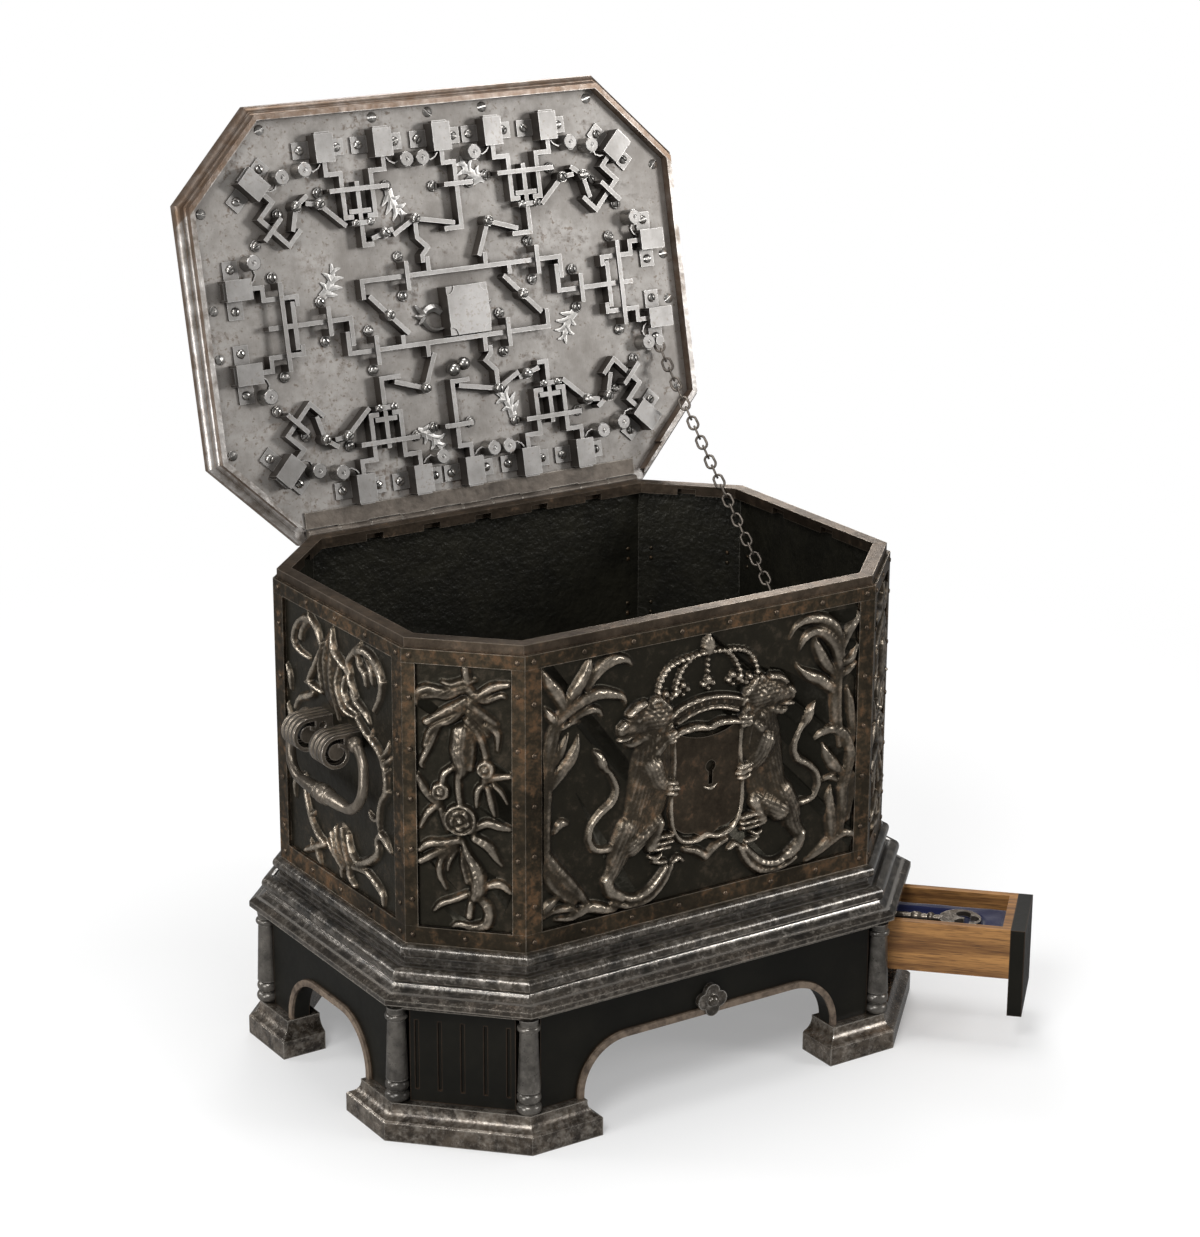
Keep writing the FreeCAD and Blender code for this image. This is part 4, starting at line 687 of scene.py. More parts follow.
rivetShape = turnedShape("rivetShape", [(1.0, -0.3), (0.97, 0.16), (0.66, 0.46), (0, 0.58)], 8)
screwHeads = screwShape("screwShape", ((1.0, -0.3), (1.0, 0.16), (0.88, 0.4), (0.55, 0.56)), 0.17, 0.12)
flushHeads = screwShape("flushShape", ((1.0, -0.1), (1.0, 0.14), (0.93, 0.2)), 0.13, 0.03)
footShape = turnedShape("footShape", [(1.0, -0.1), (1.0, 0.42), (0.88, 0.5), (0, 0.5)], 12, False)
knobShape = turnedShape("knobShape", [(3.6, -1), (3.6, 5), (6.2, 7), (7.6, 11.5), (7, 15.5), (4.4, 18.6), (0, 19.8)],
                        16)
drumShape = turnedShape("drumShape", [(1.0, -0.1), (1.0, 0.14), (0.92, 0.19), (0.36, 0.19), (0.3, 0.14), (0.2, 0.14),
                                      (0.16, 0.24), (0, 0.26)], 14, False)


# sides of the case, left to right as seen from outside
caseSides = {  # middle, along, half length, width of the upright straps
    "front": ((0, -220), (1, 0), 214, 18), "frontRight": ((257, -177), (corner45, corner45), 60.8, 12),
    "right": ((300, 0), (0, 1), 134, 18), "backRight": ((257, 177), (-corner45, corner45), 60.8, 12),
    "back": ((0, 220), (-1, 0), 214, 18), "backLeft": ((-257, 177), (-corner45, -corner45), 60.8, 12),
    "left": ((-300, 0), (0, -1), 134, 18), "frontLeft": ((-257, -177), (corner45, -corner45), 60.8, 12),
}


def sideFrame(side):
    middle, along = (np.array((*pair, 0.0)) for pair in caseSides[side][:2])
    return middle, along, np.array((along[1], -along[0], 0.0))


# embossed panels: strokes of (across, up, half width) raise a fine grid of points
def smoothPath(points, steps=5, thinnest=0.6):
    pts = np.array(points, float)
    if len(pts) < 3:
        return pts
    padded = np.vstack([2 * pts[0] - pts[1], pts, 2 * pts[-1] - pts[-2]])
    run = []
    for i in range(1, len(padded) - 2):
        a, b, c, d = padded[i - 1:i + 3]
        for k in range(steps):
            t = k / steps
            run.append(0.5 * (2 * b + (c - a) * t + (2 * a - 5 * b + 4 * c - d) * t * t
                              + (3 * b - a - 3 * c + d) * t ** 3))
    run.append(pts[-1])
    run = np.array(run)
    run[:, 2] = np.maximum(run[:, 2], thinnest)
    return run


embossSet = {
    "soft": 2, "softLines": 1, "wide": 28, "rubOver": 7.0, "rubHigh": 60.0, "liftFull": 8.0, "proud": 0.2, "sunk": 1.5,
    "ripple": 0.06, "wave": (0.62, 1.7, 0.23), "crossWave": (0.71, 1.3, 0.19), "vein": (0.16, 0.5), "hairFade": 3,
    "beadBase": 0.25,
}


class Emboss:
    def __init__(self, low, high, left, right, pitch):
        self.across = np.linspace(left, right, int((right - left) / pitch) + 1)
        self.up = np.linspace(low, high, int((high - low) / pitch) + 1)
        self.pitch = pitch
        self.height = np.zeros((len(self.up), len(self.across)))
        self.fine = np.zeros_like(self.height)

    def window(self, box):
        i0, i1 = np.searchsorted(self.up, (box[1], box[3]))
        j0, j1 = np.searchsorted(self.across, (box[0], box[2]))
        i0, j0 = max(i0 - 1, 0), max(j0 - 1, 0)
        cut = (slice(i0, i1 + 1), slice(j0, j1 + 1))
        across, up = np.meshgrid(self.across[cut[1]], self.up[cut[0]])
        return cut, across, up

    def stroke(self, points, lift, vein=0.0, hair=0.0, step=2.6, power=0.55):
        path = smoothPath(points)
        reach = path[:, 2].max() + self.pitch
        cut, across, up = self.window((path[:, 0].min() - reach, path[:, 1].min() - reach,
                                       path[:, 0].max() + reach, path[:, 1].max() + reach))
        if across.size == 0:
            return
        full = np.full(across.shape, -1.0)
        side = np.zeros(across.shape)
        size = np.ones(across.shape)
        for (x0, z0, r0), (x1, z1, r1) in zip(path[:-1], path[1:]):
            dx, dz = x1 - x0, z1 - z0
            length = max(dx * dx + dz * dz, 1e-9)
            t = np.clip(((across - x0) * dx + (up - z0) * dz) / length, 0, 1)
            offX, offZ = across - x0 - t * dx, up - z0 - t * dz
            radius = r0 + (r1 - r0) * t
            share = 1 - (offX ** 2 + offZ ** 2) / radius ** 2
            better = share > full
            full = np.where(better, share, full)
            side = np.where(better, (dx * offZ - dz * offX) / math.sqrt(length), side)
            size = np.where(better, radius, size)
        inside = full > 0
        taper = np.sqrt(size / path[:, 2].max())
        lifted = np.where(inside, lift * taper * np.clip(full, 0, 1) ** power, 0)
        if vein:
            grow, least = embossSet["vein"]
            lifted -= np.where(inside, vein * np.exp(-(side / (grow * size + least)) ** 2), 0)
        wins = lifted > self.height[cut]
        self.height[cut] = np.where(wins, lifted, self.height[cut])
        lines = hair * np.sin(2 * math.pi * side / step) * np.clip(full * embossSet["hairFade"], 0, 1)
        self.fine[cut] = np.where(wins & inside, lines, self.fine[cut])

    def bead(self, x, z, radius, lift):
        cut, across, up = self.window((x - radius - 1, z - radius - 1, x + radius + 1, z + radius + 1))
        if across.size:
            share = np.clip(1 - ((across - x) ** 2 + (up - z) ** 2) / radius ** 2, 0, 1)
            base = self.height[cut]
            raised = base * embossSet["beadBase"] + lift * share ** 0.5
            self.height[cut] = np.maximum(base, np.where(share > 0, raised, base))

    def ring(self, x, z, radius, width, lift, steps=17):
        turns = np.linspace(0, 2 * math.pi, steps)
        self.stroke([(x + radius * math.cos(a), z + radius * math.sin(a), width) for a in turns], lift)

    def softened(self, field, rounds):
        for _ in range(rounds):
            grown = np.pad(field, 1, mode="edge")
            field = (grown[:-2, 1:-1] + 2 * grown[1:-1, 1:-1] + grown[2:, 1:-1]) / 4
            grown = np.pad(field, 1, mode="edge")
            field = (grown[1:-1, :-2] + 2 * grown[1:-1, 1:-1] + grown[1:-1, 2:]) / 4
        return field

    def mesh(self, name, caseSide):
        s = embossSet
        height = self.softened(self.height, s["soft"]) + self.softened(self.fine, s["softLines"])
        wide = self.softened(height, s["wide"])
        rub = np.clip(0.5 + (height - wide) / s["rubOver"] + height / s["rubHigh"], 0, 1)
        lift = np.clip(height / s["liftFull"], 0, 1)
        ripple = s["ripple"]
        across, up = np.meshgrid(self.across, self.up)
        for (pace, bend, turn), run, other in ((s["wave"], across, up), (s["crossWave"], up, across)):
            ripple = ripple * np.sin(run * pace + bend * np.sin(other * turn))
        height = height * (1 + ripple)
        middle, along, out = sideFrame(caseSide)
        spots = middle + out * s["proud"] + across[..., None] * along + height[..., None] * out
        spots[..., 2] += up
        piece = closedGrid(name, spots, lambda edge: edge - out * s["sunk"])
        for label, field in (("rub", rub), ("lift", lift)):
            layer = piece.data.attributes.new(label, "FLOAT", "POINT")
            layer.data.foreach_set("value", np.pad(field.ravel(), (0, len(piece.data.vertices) - field.size)))
        return rideOn(piece, "case", "reliefIron")


# front panel: two beasts holding a shield, a crown above and leafy stems at both ends
# a stroke of the beasts is (points, lift, vein, hair), any other is (points, lift)
beastSet = {
    "strokes": [
        ([(-50, 372, 13), (-57, 345, 16), (-66, 318, 14)], 6.5, 0, 0.3),
        ([(-140, 312, 4), (-137, 326, 4), (-125, 338, 4.4), (-112, 347, 4.6), (-107, 360, 4.2), (-112, 374, 3.6),
          (-119, 384, 3.2)], 6.5, 0, 0),
        ([(-112, 297, 5.5), (-124, 297, 4.6), (-134, 301, 4.4), (-140, 312, 4)], 6.5, 0, 0),
        ([(-119, 381, 3), (-124, 391, 6.5), (-128, 399, 5), (-134, 406, 1.5)], 7, 0, 0.35),
        ([(-64, 402, 19), (-68, 378, 22), (-75, 352, 18), (-82, 328, 15), (-86, 306, 18)], 9, 0, 0.3),
        ([(-48, 418, 12), (-52, 398, 14), (-50, 378, 10)], 8, 0, 0.55),
        ([(-58, 428, 20), (-72, 429, 18), (-84, 428, 13)], 11, 0, 0.3),
        ([(-78, 424, 13), (-92, 423, 10), (-101, 420, 6.5)], 10, 0, 0),
        ([(-74, 410, 8), (-88, 405, 5.5), (-96, 406, 3)], 8.5, 0, 0),
        ([(-104, 411, 2.2), (-96, 412, 2.6), (-87, 413, 2)], 9, 0, 0),
        ([(-93, 437, 3.4), (-85, 443, 3.8), (-74, 446, 3)], 12, 0, 0),
        ([(-104, 424, 2.6), (-98, 429, 2.8)], 10.5, 0, 0), ([(-64, 432, 4.5), (-59, 427, 4)], 12.5, 1.5, 0),
        ([(-66, 376, 17), (-60, 362, 14), (-49, 352, 9), (-40, 348, 7)], 13, 0, 0.25),
        ([(-47, 356, 2.6), (-35, 353, 2.4)], 13, 0, 0), ([(-46, 350, 2.6), (-33, 347, 2.4)], 13, 0, 0),
        ([(-47, 344, 2.6), (-35, 341, 2.2)], 12.5, 0, 0), ([(-60, 392, 9), (-51, 400, 7), (-44, 404, 6)], 11, 0, 0.3),
        ([(-48, 407, 2.4), (-37, 409, 2.2)], 12, 0, 0), ([(-47, 403, 2.4), (-35, 404, 2.2)], 12, 0, 0),
        ([(-46, 399, 2.2), (-37, 399, 2)], 11.5, 0, 0),
        ([(-92, 312, 16), (-102, 292, 15), (-108, 276, 10), (-115, 264, 8)], 10, 0, 0.25),
        ([(-118, 262, 7), (-114, 250, 7.5), (-102, 241, 7)], 9, 0, 0),
        ([(-104, 243, 5), (-86, 236, 5.5), (-68, 240, 5.5), (-54, 252, 5), (-46, 262, 4.5)], 8, 0, 0.3),
        ([(-112, 236, 3.4), (-92, 229, 4), (-68, 231, 4.6), (-50, 245, 4.6), (-40, 262, 4.2)], 7.5, 0, 0),
        ([(-90, 296, 15), (-74, 305, 12), (-58, 315, 9)], 12, 0, 0.25),
        ([(-56, 312, 8), (-62, 298, 8), (-66, 289, 7.5)], 10.5, 0, 0),
        ([(-64, 297, 2.8), (-52, 298, 3), (-40, 296, 2.4)], 11.5, 0, 0),
        ([(-64, 291, 2.8), (-52, 291, 3), (-39, 290, 2.4)], 11.5, 0, 0),
        ([(-62, 285, 2.6), (-52, 285, 2.8), (-42, 284, 2.2)], 11, 0, 0),
        ([(-66, 277, 2.2), (-58, 275, 2.6), (-52, 279, 2)], 9, 0, 0),
        ([(-62, 271, 2.2), (-54, 269, 3), (-46, 268, 2.2)], 9, 0, 0),
        ([(-37, 266, 2.2), (-31, 269, 2.8), (-25, 264, 2)], 9, 0, 0),
    ],
    "eye": (-84, 430, 2.3, 10.5),
    "curls": [(-46, 434), (-41, 424), (-44, 414), (-54, 412), (-60, 404), (-52, 440), (-62, 445)],
    "curl": [(-4, -3, 1.6), (0, 3, 2.2), (4, 0, 1.6)], "curlLift": 10.5, "hairScale": 2, "hairStep": 4.4,
}
crownSet = {
    "middle": 4,
    "bands": [
        ([(-44, 426, 3), (-20, 434, 3), (4, 437, 3), (28, 434, 3), (52, 426, 3)], 8),
        ([(-34, 416, 2.4), (-14, 423, 2.4), (4, 425, 2.4), (22, 423, 2.4), (42, 416, 2.4)], 7.5),
        ([(-40, 421, 5), (-16, 429, 5), (4, 431, 5), (24, 429, 5), (48, 421, 5)], 4.5),
    ],
    "arches": [
        [(-56, 446), (-57, 456), (-53, 467), (-45, 477), (-32, 482), (-16, 484), (0, 486)],
        [(-37, 446), (-36, 456), (-32, 466), (-27, 475), (-18, 482)],
    ],
    "archLift": 4.5, "bead": 3.0, "beadFrom": 1.5, "beadStep": 6.4, "beadLift": 8,
    "drop": {"top": 484, "count": 6, "step": 6.2, "bead": (2.5, 7.5)},
    "jewels": {"span": (-34, 42), "count": 9, "height": 430.5, "bow": 0.0042, "bead": (2.2, 6.5)},
    "leaf": [(0, 4, 4.2), (-5.5, -1, 3.6), (5.5, -1, 3.6), (0, -6, 2.6)], "leafLift": 7.5,
    "orb": [
        ([(4, 488, 7), (4, 496, 8)], 8.5), ([(-3, 492, 1.2), (11, 492, 1.2)], 9.6), ([(4, 499, 2), (4, 505, 2.4)], 8),
    ],
    "leaves": [(4, 453), (-27, 452), (35, 452), (-48, 446), (56, 446)],
}
stemSet = {
    "left": [
        ([(-192, 302, 8), (-193, 335, 9), (-192, 372, 10), (-187, 410, 10), (-180, 438, 8), (-172, 455, 6)], 7),
        ([(-168, 456, 6), (-178, 476, 7.5), (-189, 491, 5.5), (-195, 503, 2)], 8),
        ([(-166, 464, 5), (-153, 478, 7.5), (-143, 492, 6.5), (-139, 503, 3)], 8.5),
        ([(-142, 474, 4), (-130, 490, 7), (-113, 498, 7), (-97, 496, 4.5), (-88, 488, 1.4)], 8.5),
        ([(-177, 446, 5), (-156, 459, 7), (-132, 466, 7.5), (-112, 462, 5.5), (-99, 456, 3.4), (-95, 447, 1.4)], 9),
        ([(-160, 445, 4), (-142, 451, 5.5), (-129, 448, 3.6), (-123, 440, 1.4)], 7),
        ([(-174, 438, 4), (-162, 441, 3.4), (-149, 440, 1.4)], 6.5),
        ([(-192, 462, 1.6), (-185, 452, 5), (-177, 443, 4.4)], 7),
        ([(-184, 398, 4), (-173, 414, 5.4), (-164, 429, 1.6)], 6.5),
        ([(-190, 372, 4), (-174, 391, 8), (-160, 405, 7), (-154, 416, 4), (-152, 425, 1.4)], 8),
        ([(-181, 328, 3), (-173, 336, 5), (-164, 334, 2)], 6),
        ([(-196, 312, 7), (-183, 291, 9), (-166, 270, 9.5), (-153, 256, 7), (-142, 243, 4)], 8),
        ([(-193, 294, 5), (-184, 275, 7.5), (-171, 259, 6.5), (-157, 247, 4.5)], 7),
        ([(-196, 243, 4), (-187, 251, 6), (-177, 256, 3)], 6.5),
        ([(-180, 234, 2), (-161, 232, 4.5), (-141, 238, 6.5), (-121, 232, 6), (-107, 228, 3)], 8),
        ([(-195, 238, 2), (-182, 243, 3.6), (-165, 242, 4.5), (-149, 234, 3)], 6),
    ],
    "right": [
        ([(168, 248, 7), (166, 272, 8), (163, 292, 6.5), (165, 305, 2)], 7.5),
        ([(177, 250, 6), (180, 280, 8), (181, 306, 8), (188, 330, 8), (188, 345, 7)], 7.5),
        ([(190, 338, 7), (181, 360, 7.5), (166, 371, 6.5), (151, 370, 5), (141, 363, 1.6)], 8.5),
        ([(180, 318, 4), (167, 330, 8), (157, 344, 6.5), (152, 357, 1.6)], 8),
        ([(172, 312, 3.4), (162, 318, 4.4), (151, 314, 1.6)], 6.5),
        ([(176, 352, 6), (170, 378, 8.5), (168, 402, 9), (168, 424, 9), (170, 442, 7)], 7.5),
        ([(164, 415, 6), (147, 429, 7), (131, 437, 6.4), (121, 445, 3), (116, 451, 1.4)], 8.5),
        ([(166, 432, 5), (152, 448, 7.5), (142, 466, 6), (137, 480, 2)], 8),
        ([(170, 440, 6), (166, 462, 7.5), (154, 477, 7.5), (139, 484, 6), (126, 478, 4), (120, 466, 1.4)], 9),
        ([(173, 452, 6), (166, 480, 7.5), (150, 494, 7), (131, 498, 5.4), (115, 493, 3), (107, 481, 1.4)], 8.5),
        ([(172, 456, 5), (180, 474, 6.5), (191, 486, 5), (196, 496, 2)], 8),
        ([(174, 442, 5), (187, 446, 5), (195, 460, 2.4)], 7), ([(172, 428, 4), (184, 434, 5), (194, 440, 2)], 6.5),
        ([(183, 412, 3), (187, 394, 6.4), (190, 372, 6), (193, 352, 3)], 6.5),
        ([(192, 315, 5), (191, 290, 5.5), (187, 266, 5)], 6),
        ([(196, 246, 5), (182, 250, 5.5), (168, 244, 5), (150, 233, 3), (134, 228, 2)], 7.5),
        ([(162, 245, 5), (152, 238, 4), (140, 232, 2)], 6.5),
    ],
}
shieldSet = {
    "roll": [
        (-42, 402, 3), (-28, 406, 4.4), (-8, 407, 4.6), (6, 404, 4.2), (20, 407, 4.6), (38, 405, 4.2), (50, 402, 3),
    ],
    "side": [
        (-38, 396, 3), (-37, 372, 3), (-40, 345, 3), (-40, 316, 3), (-36, 298, 3), (-26, 286, 3.4), (-10, 283, 3.6),
        (4, 287, 3.6),
    ],
    "tail": [(-22, 276, 4), (-8, 271, 5), (4, 262, 5)], "crescent": [(-3, 342, 1.4), (8, 337, 2.4), (19, 342, 1.4)],
}
frontSet = {"window": (225.0, 506.0, -195.0, 195.0, 1.1), "stemVein": 0.9, "side": 7.5, "tail": 6, "roll": 8.5,
            "crescent": 6.6}


def frontEmboss(s):
    e = Emboss(*s["window"])
    middle = crownSet["middle"]
    for points, lift in stemSet["left"] + stemSet["right"]:
        e.stroke(points, lift, s["stemVein"])
    for flip in (False, True):
        def turned(points):
            return [(2 * middle - p[0], *p[1:]) for p in points] if flip else points

        for points, lift, vein, hair in beastSet["strokes"]:
            e.stroke(turned(points), lift, vein, hair * beastSet["hairScale"], beastSet["hairStep"])
        e.bead(*turned([beastSet["eye"]])[0])
        for x, z in turned(beastSet["curls"]):
            e.stroke([(x + dx, z + dz, r) for dx, dz, r in beastSet["curl"]], beastSet["curlLift"])
        for part in ("side", "tail"):
            e.stroke(turned(shieldSet[part]), s[part])
        for arch in crownSet["arches"]:
            line = np.array(turned(smoothPath([(x, z, 2) for x, z in arch], 12).tolist()))
            e.stroke(line[::12].tolist(), crownSet["archLift"])
            gaps = np.concatenate([[0], np.cumsum(np.hypot(*np.diff(line[:, :2], axis=0).T))])
            for at in np.arange(crownSet["beadFrom"], gaps[-1], crownSet["beadStep"]):
                x, z = (np.interp(at, gaps, line[:, k]) for k in (0, 1))
                e.bead(x, z, crownSet["bead"], crownSet["beadLift"])
    for part in ("roll", "crescent"):
        e.stroke(shieldSet[part], s[part])
    for points, lift in crownSet["bands"]:
        e.stroke(points, lift)
    drop, jewels = crownSet["drop"], crownSet["jewels"]
    for step in range(drop["count"]):
        e.bead(middle, drop["top"] - step * drop["step"], *drop["bead"])
    for x in np.linspace(*jewels["span"], jewels["count"]):
        e.bead(x, jewels["height"] - jewels["bow"] * (x - middle) ** 2, *jewels["bead"])
    for x, z in crownSet["leaves"]:
        for dx, dz, r in crownSet["leaf"]:
            e.bead(x + dx, z + dz, r, crownSet["leafLift"])
    for points, lift in crownSet["orb"]:
        e.stroke(points, lift)
    return e.mesh("frontRelief", "front")


frontEmboss(frontSet)
print("front panel embossed")

# corner panels: a hanging garland, the same on all four
garlandSet = {
    "top": [
        [(2, 506, 4), (4, 490, 5)], [(0, 490, 4), (-12, 486, 4), (-22, 488, 2)],
        [(0, 482, 5), (-20, 478, 5), (-38, 480, 5), (-47, 474, 4), (-48, 462, 2)],
        [(2, 484, 4), (-15, 474, 4), (-30, 474, 4), (-43, 471, 3)],
        [(4, 484, 5), (14, 476, 5), (30, 486, 5), (46, 490, 3)],
        [(10, 474, 4), (22, 472, 4), (38, 478, 3), (42, 476, 2)], [(6, 490, 3), (12, 492, 2)],
    ],
    "leaves": [
        [(2, 470, 6), (-10, 462, 6), (-24, 454, 5), (-38, 445, 4)],
        [(0, 462, 5), (-12, 450, 5), (-24, 444, 4), (-34, 436, 4), (-40, 420, 3)],
        [(-26, 440, 3), (-36, 418, 4), (-44, 402, 3), (-42, 396, 1.5)],
        [(6, 468, 6), (18, 458, 5), (30, 450, 4), (34, 446, 2)], [(6, 458, 5), (16, 450, 4), (24, 436, 3)],
        [(24, 446, 4), (34, 438, 4), (34, 420, 2)], [(4, 450, 5), (14, 438, 5), (20, 422, 4), (22, 412, 4)],
        [(6, 440, 4), (8, 425, 5), (6, 400, 5)], [(20, 388, 4), (34, 392, 4), (47, 394, 3)],
        [(22, 386, 3), (14, 376, 4), (12, 358, 2)], [(24, 380, 4), (28, 362, 4), (31, 350, 2)],
        [(30, 384, 3), (38, 376, 3), (44, 364, 1.5)], [(-6, 392, 4), (-6, 375, 4), (-4, 360, 4)],
        [(-10, 400, 4), (-20, 392, 4), (-22, 384, 4)], [(-48, 388, 3), (-42, 376, 5), (-34, 366, 5), (-26, 360, 4)],
        [(-28, 358, 4), (-38, 348, 4), (-46, 332, 2)], [(-24, 354, 4), (-20, 340, 4), (-18, 330, 2)],
        [(-6, 322, 5), (-20, 318, 5), (-36, 316, 5), (-47, 308, 3)], [(-10, 316, 4), (-30, 306, 5), (-46, 296, 4)],
        [(-14, 312, 4), (-24, 300, 4), (-26, 284, 4), (-20, 268, 2)], [(-8, 312, 3), (-16, 298, 3), (-18, 288, 2)],
        [(6, 332, 4), (22, 342, 5), (36, 340, 5), (47, 338, 3)],
        [(10, 326, 5), (24, 318, 6), (32, 306, 4), (38, 298, 2)], [(0, 318, 3), (-2, 300, 4), (4, 280, 6)],
        [(20, 274, 4), (36, 278, 5), (47, 270, 3)], [(2, 264, 4), (-10, 258, 4), (-24, 252, 4), (-33, 243, 2)],
        [(14, 262, 5), (24, 250, 6), (22, 234, 6), (8, 229, 5), (-6, 231, 4), (-14, 227, 2)],
        [(6, 256, 4), (4, 240, 4)],
    ],
    "pods": [
        [(-2, 436, 11), (-4, 415, 11), (-2, 400, 8), (-4, 392, 5)],
        [(-2, 322, 3), (4, 306, 5), (12, 290, 8), (14, 272, 9), (10, 262, 6)],
    ],
    "flowers": [(22, 400, 8.5, 3), (-24, 373, 8.5, 3.5), (-4, 344, 16, 3.4)], "rose": (-4, 344, 14, 5),
    "petal": [(0.32, 0.0, 1.6), (0.62, 0.55, 3.2), (0.66, 1.1, 3.2), (0.5, 1.6, 1.8)], "petalLift": 8.6,
    "window": (225.3, 505.7, -48.5, 48.5, 1.0), "lift": 4.5, "swell": 0.45, "vein": 1.1, "pod": (9.5, 0, 0.5, 3.4),
    "dome": 7.0, "ring": (2.0, 7.8), "ball": 9.5,
}


def garlandEmboss(name, caseSide, s):
    e = Emboss(*s["window"])
    for points in s["top"] + s["leaves"]:
        e.stroke(points, s["lift"] + s["swell"] * max(p[2] for p in points), s["vein"])
    for points in s["pods"]:
        e.stroke(points, *s["pod"])
    for x, z, r, ball in s["flowers"]:
        e.bead(x, z, r + 1.0, s["dome"])
        e.ring(x, z, r - 1.0, *s["ring"])
        e.bead(x, z, ball, s["ball"])
    x, z, r, petals = s["rose"]
    for turn in np.arange(petals) * 2 * math.pi / petals:
        e.stroke([(x + r * f * math.cos(a + turn), z + r * f * math.sin(a + turn), w) for f, a, w in s["petal"]],
                 s["petalLift"])
    return e.mesh(name, caseSide)


# end panels: a plume between two scrolls, thorny stems and a shell
endSet = {
    "window": (225.3, 505.7, -115.5, 115.5, 1.15), "lift": 4.2, "swell": 0.55, "vein": 0.8, "massLift": 4.6,
    "ribLift": 7.4,
    "strokes": [
        [(-34, 477, 3.6), (-42, 491, 4.4), (-59, 497, 4.6), (-78, 490, 4.4), (-91, 476, 4.2), (-93, 462, 4),
         (-81, 455, 3.4), (-61, 453, 2.6)],
        [(-56, 497, 4), (-71, 484, 4), (-77, 472, 4.6)], [(-47, 496, 3), (-58, 502, 2.6), (-64, 505, 1.4)],
        [(29, 463, 3.4), (24, 474, 4), (37, 487, 4.6), (54, 494, 5), (73, 493, 5), (88, 482, 5), (93, 468, 4.6),
         (88, 453, 4), (76, 437, 3)],
        [(45, 488, 4), (49, 477, 4.2), (59, 470, 4), (60, 459, 2.6)], [(62, 490, 3.6), (72, 478, 4), (74, 464, 2.4)],
        [(37, 490, 3.4), (51, 502, 2)], [(93, 470, 3), (99, 474, 1.6)],
        [(-113, 432, 2), (-105, 423, 3.4), (-104, 407, 2.2)], [(-113, 388, 2), (-106, 376, 3)],
        [(-95, 389, 3), (-83, 403, 4), (-64, 411, 4.6), (-51, 419, 4), (-61, 424, 3), (-73, 424, 2)],
        [(41, 419, 4), (59, 407, 4.4), (78, 400, 4.4), (90, 391, 4.4), (98, 376, 4.4), (98, 357, 4.4), (88, 343, 4),
         (83, 324, 4), (84, 308, 3)],
        [(92, 392, 3.4), (102, 403, 3), (104, 412, 1.4)], [(97, 386, 3), (106, 394, 2.2), (110, 396, 1.2)],
        [(98, 374, 3), (106, 383, 1.4)], [(97, 354, 3.4), (105, 358, 1.6)], [(68, 404, 3), (70, 414, 1.4)],
        [(84, 322, 3.4), (72, 318, 3.4), (60, 322, 2)],
        [(-76, 318, 2.4), (-88, 314, 3.8), (-99, 303, 3.6), (-101, 286, 1.8)],
        [(-78, 306, 3), (-73, 290, 3.6), (-64, 273, 4), (-49, 260, 4.4), (-34, 255, 4)],
        [(-66, 277, 3), (-58, 282, 1.6)], [(-34, 255, 4), (-50, 247, 4.4), (-64, 240, 4), (-83, 231, 2.4)],
        [(-52, 246, 4), (-50, 236, 4), (-46, 228, 2)], [(-62, 242, 3), (-71, 248, 1.6)],
        [(10, 246, 4.6), (2, 238, 4), (0, 229, 2.4)], [(18, 246, 4.6), (18, 236, 4), (28, 229, 3)],
        [(39, 258, 4.6), (49, 262, 4.6), (68, 273, 5), (80, 285, 4.6), (79, 298, 4.4), (88, 305, 5), (97, 301, 4.4),
         (105, 292, 2)],
        [(26, 250, 4), (54, 254, 4.4), (73, 249, 4.6), (87, 241, 4.2), (88, 229, 2.4)],
    ],
    "mass": [[(-12, 490, 7), (-16, 466, 20), (-14, 440, 24), (4, 424, 15)], [(4, 274, 17), (12, 256, 17)]],
    "ribs": [
        [(-10, 500, 2), (-6, 480, 4.4), (8, 470, 4.4), (24, 464, 4), (30, 452, 4), (40, 442, 2)],
        [(-29, 479, 2.4), (-42, 456, 4), (-54, 440, 4), (-58, 428, 4), (-34, 424, 3)],
        [(-27, 474, 2), (-35, 454, 3.2), (-33, 430, 2.4)], [(-20, 483, 2), (-24, 461, 3.2), (-22, 432, 2.4)],
        [(-11, 478, 2), (-12, 458, 3.2), (-10, 434, 3), (-3, 418, 2.4), (0, 403, 1.4)],
        [(4, 462, 2), (0, 445, 3.4), (6, 429, 3.6), (18, 419, 3.4), (44, 418, 2)],
        [(16, 456, 2), (14, 440, 3), (24, 428, 3), (42, 424, 2)],
        [(32, 444, 3), (42, 436, 3.6), (58, 429, 3), (66, 419, 1.6)], [(-29, 260, 2.4), (-14, 253, 3.6), (4, 242, 3)],
        [(-20, 273, 2.6), (-12, 258, 3.8), (6, 243, 3)], [(-10, 282, 3), (-4, 264, 4), (10, 246, 3)],
        [(4, 285, 3), (10, 266, 4), (18, 248, 3)], [(17, 282, 3), (24, 266, 4), (38, 257, 3.4)],
    ],
}


def endEmboss(name, caseSide, s):
    e = Emboss(*s["window"])
    for points in s["mass"]:
        e.stroke(points, s["massLift"])
    for points in s["strokes"]:
        e.stroke(points, s["lift"] + s["swell"] * max(p[2] for p in points), s["vein"])
    for points in s["ribs"]:
        e.stroke(points, s["ribLift"])
    return e.mesh(name, caseSide)


for name, caseSide in (("garlandFrontLeft", "frontLeft"), ("garlandFrontRight", "frontRight"),
                       ("garlandBackRight", "backRight"), ("garlandBackLeft", "backLeft")):
    garlandEmboss(name, caseSide, garlandSet)
endEmboss("leftEndRelief", "left", endSet)
endEmboss("rightEndRelief", "right", endSet)
print("corner and end panels embossed")

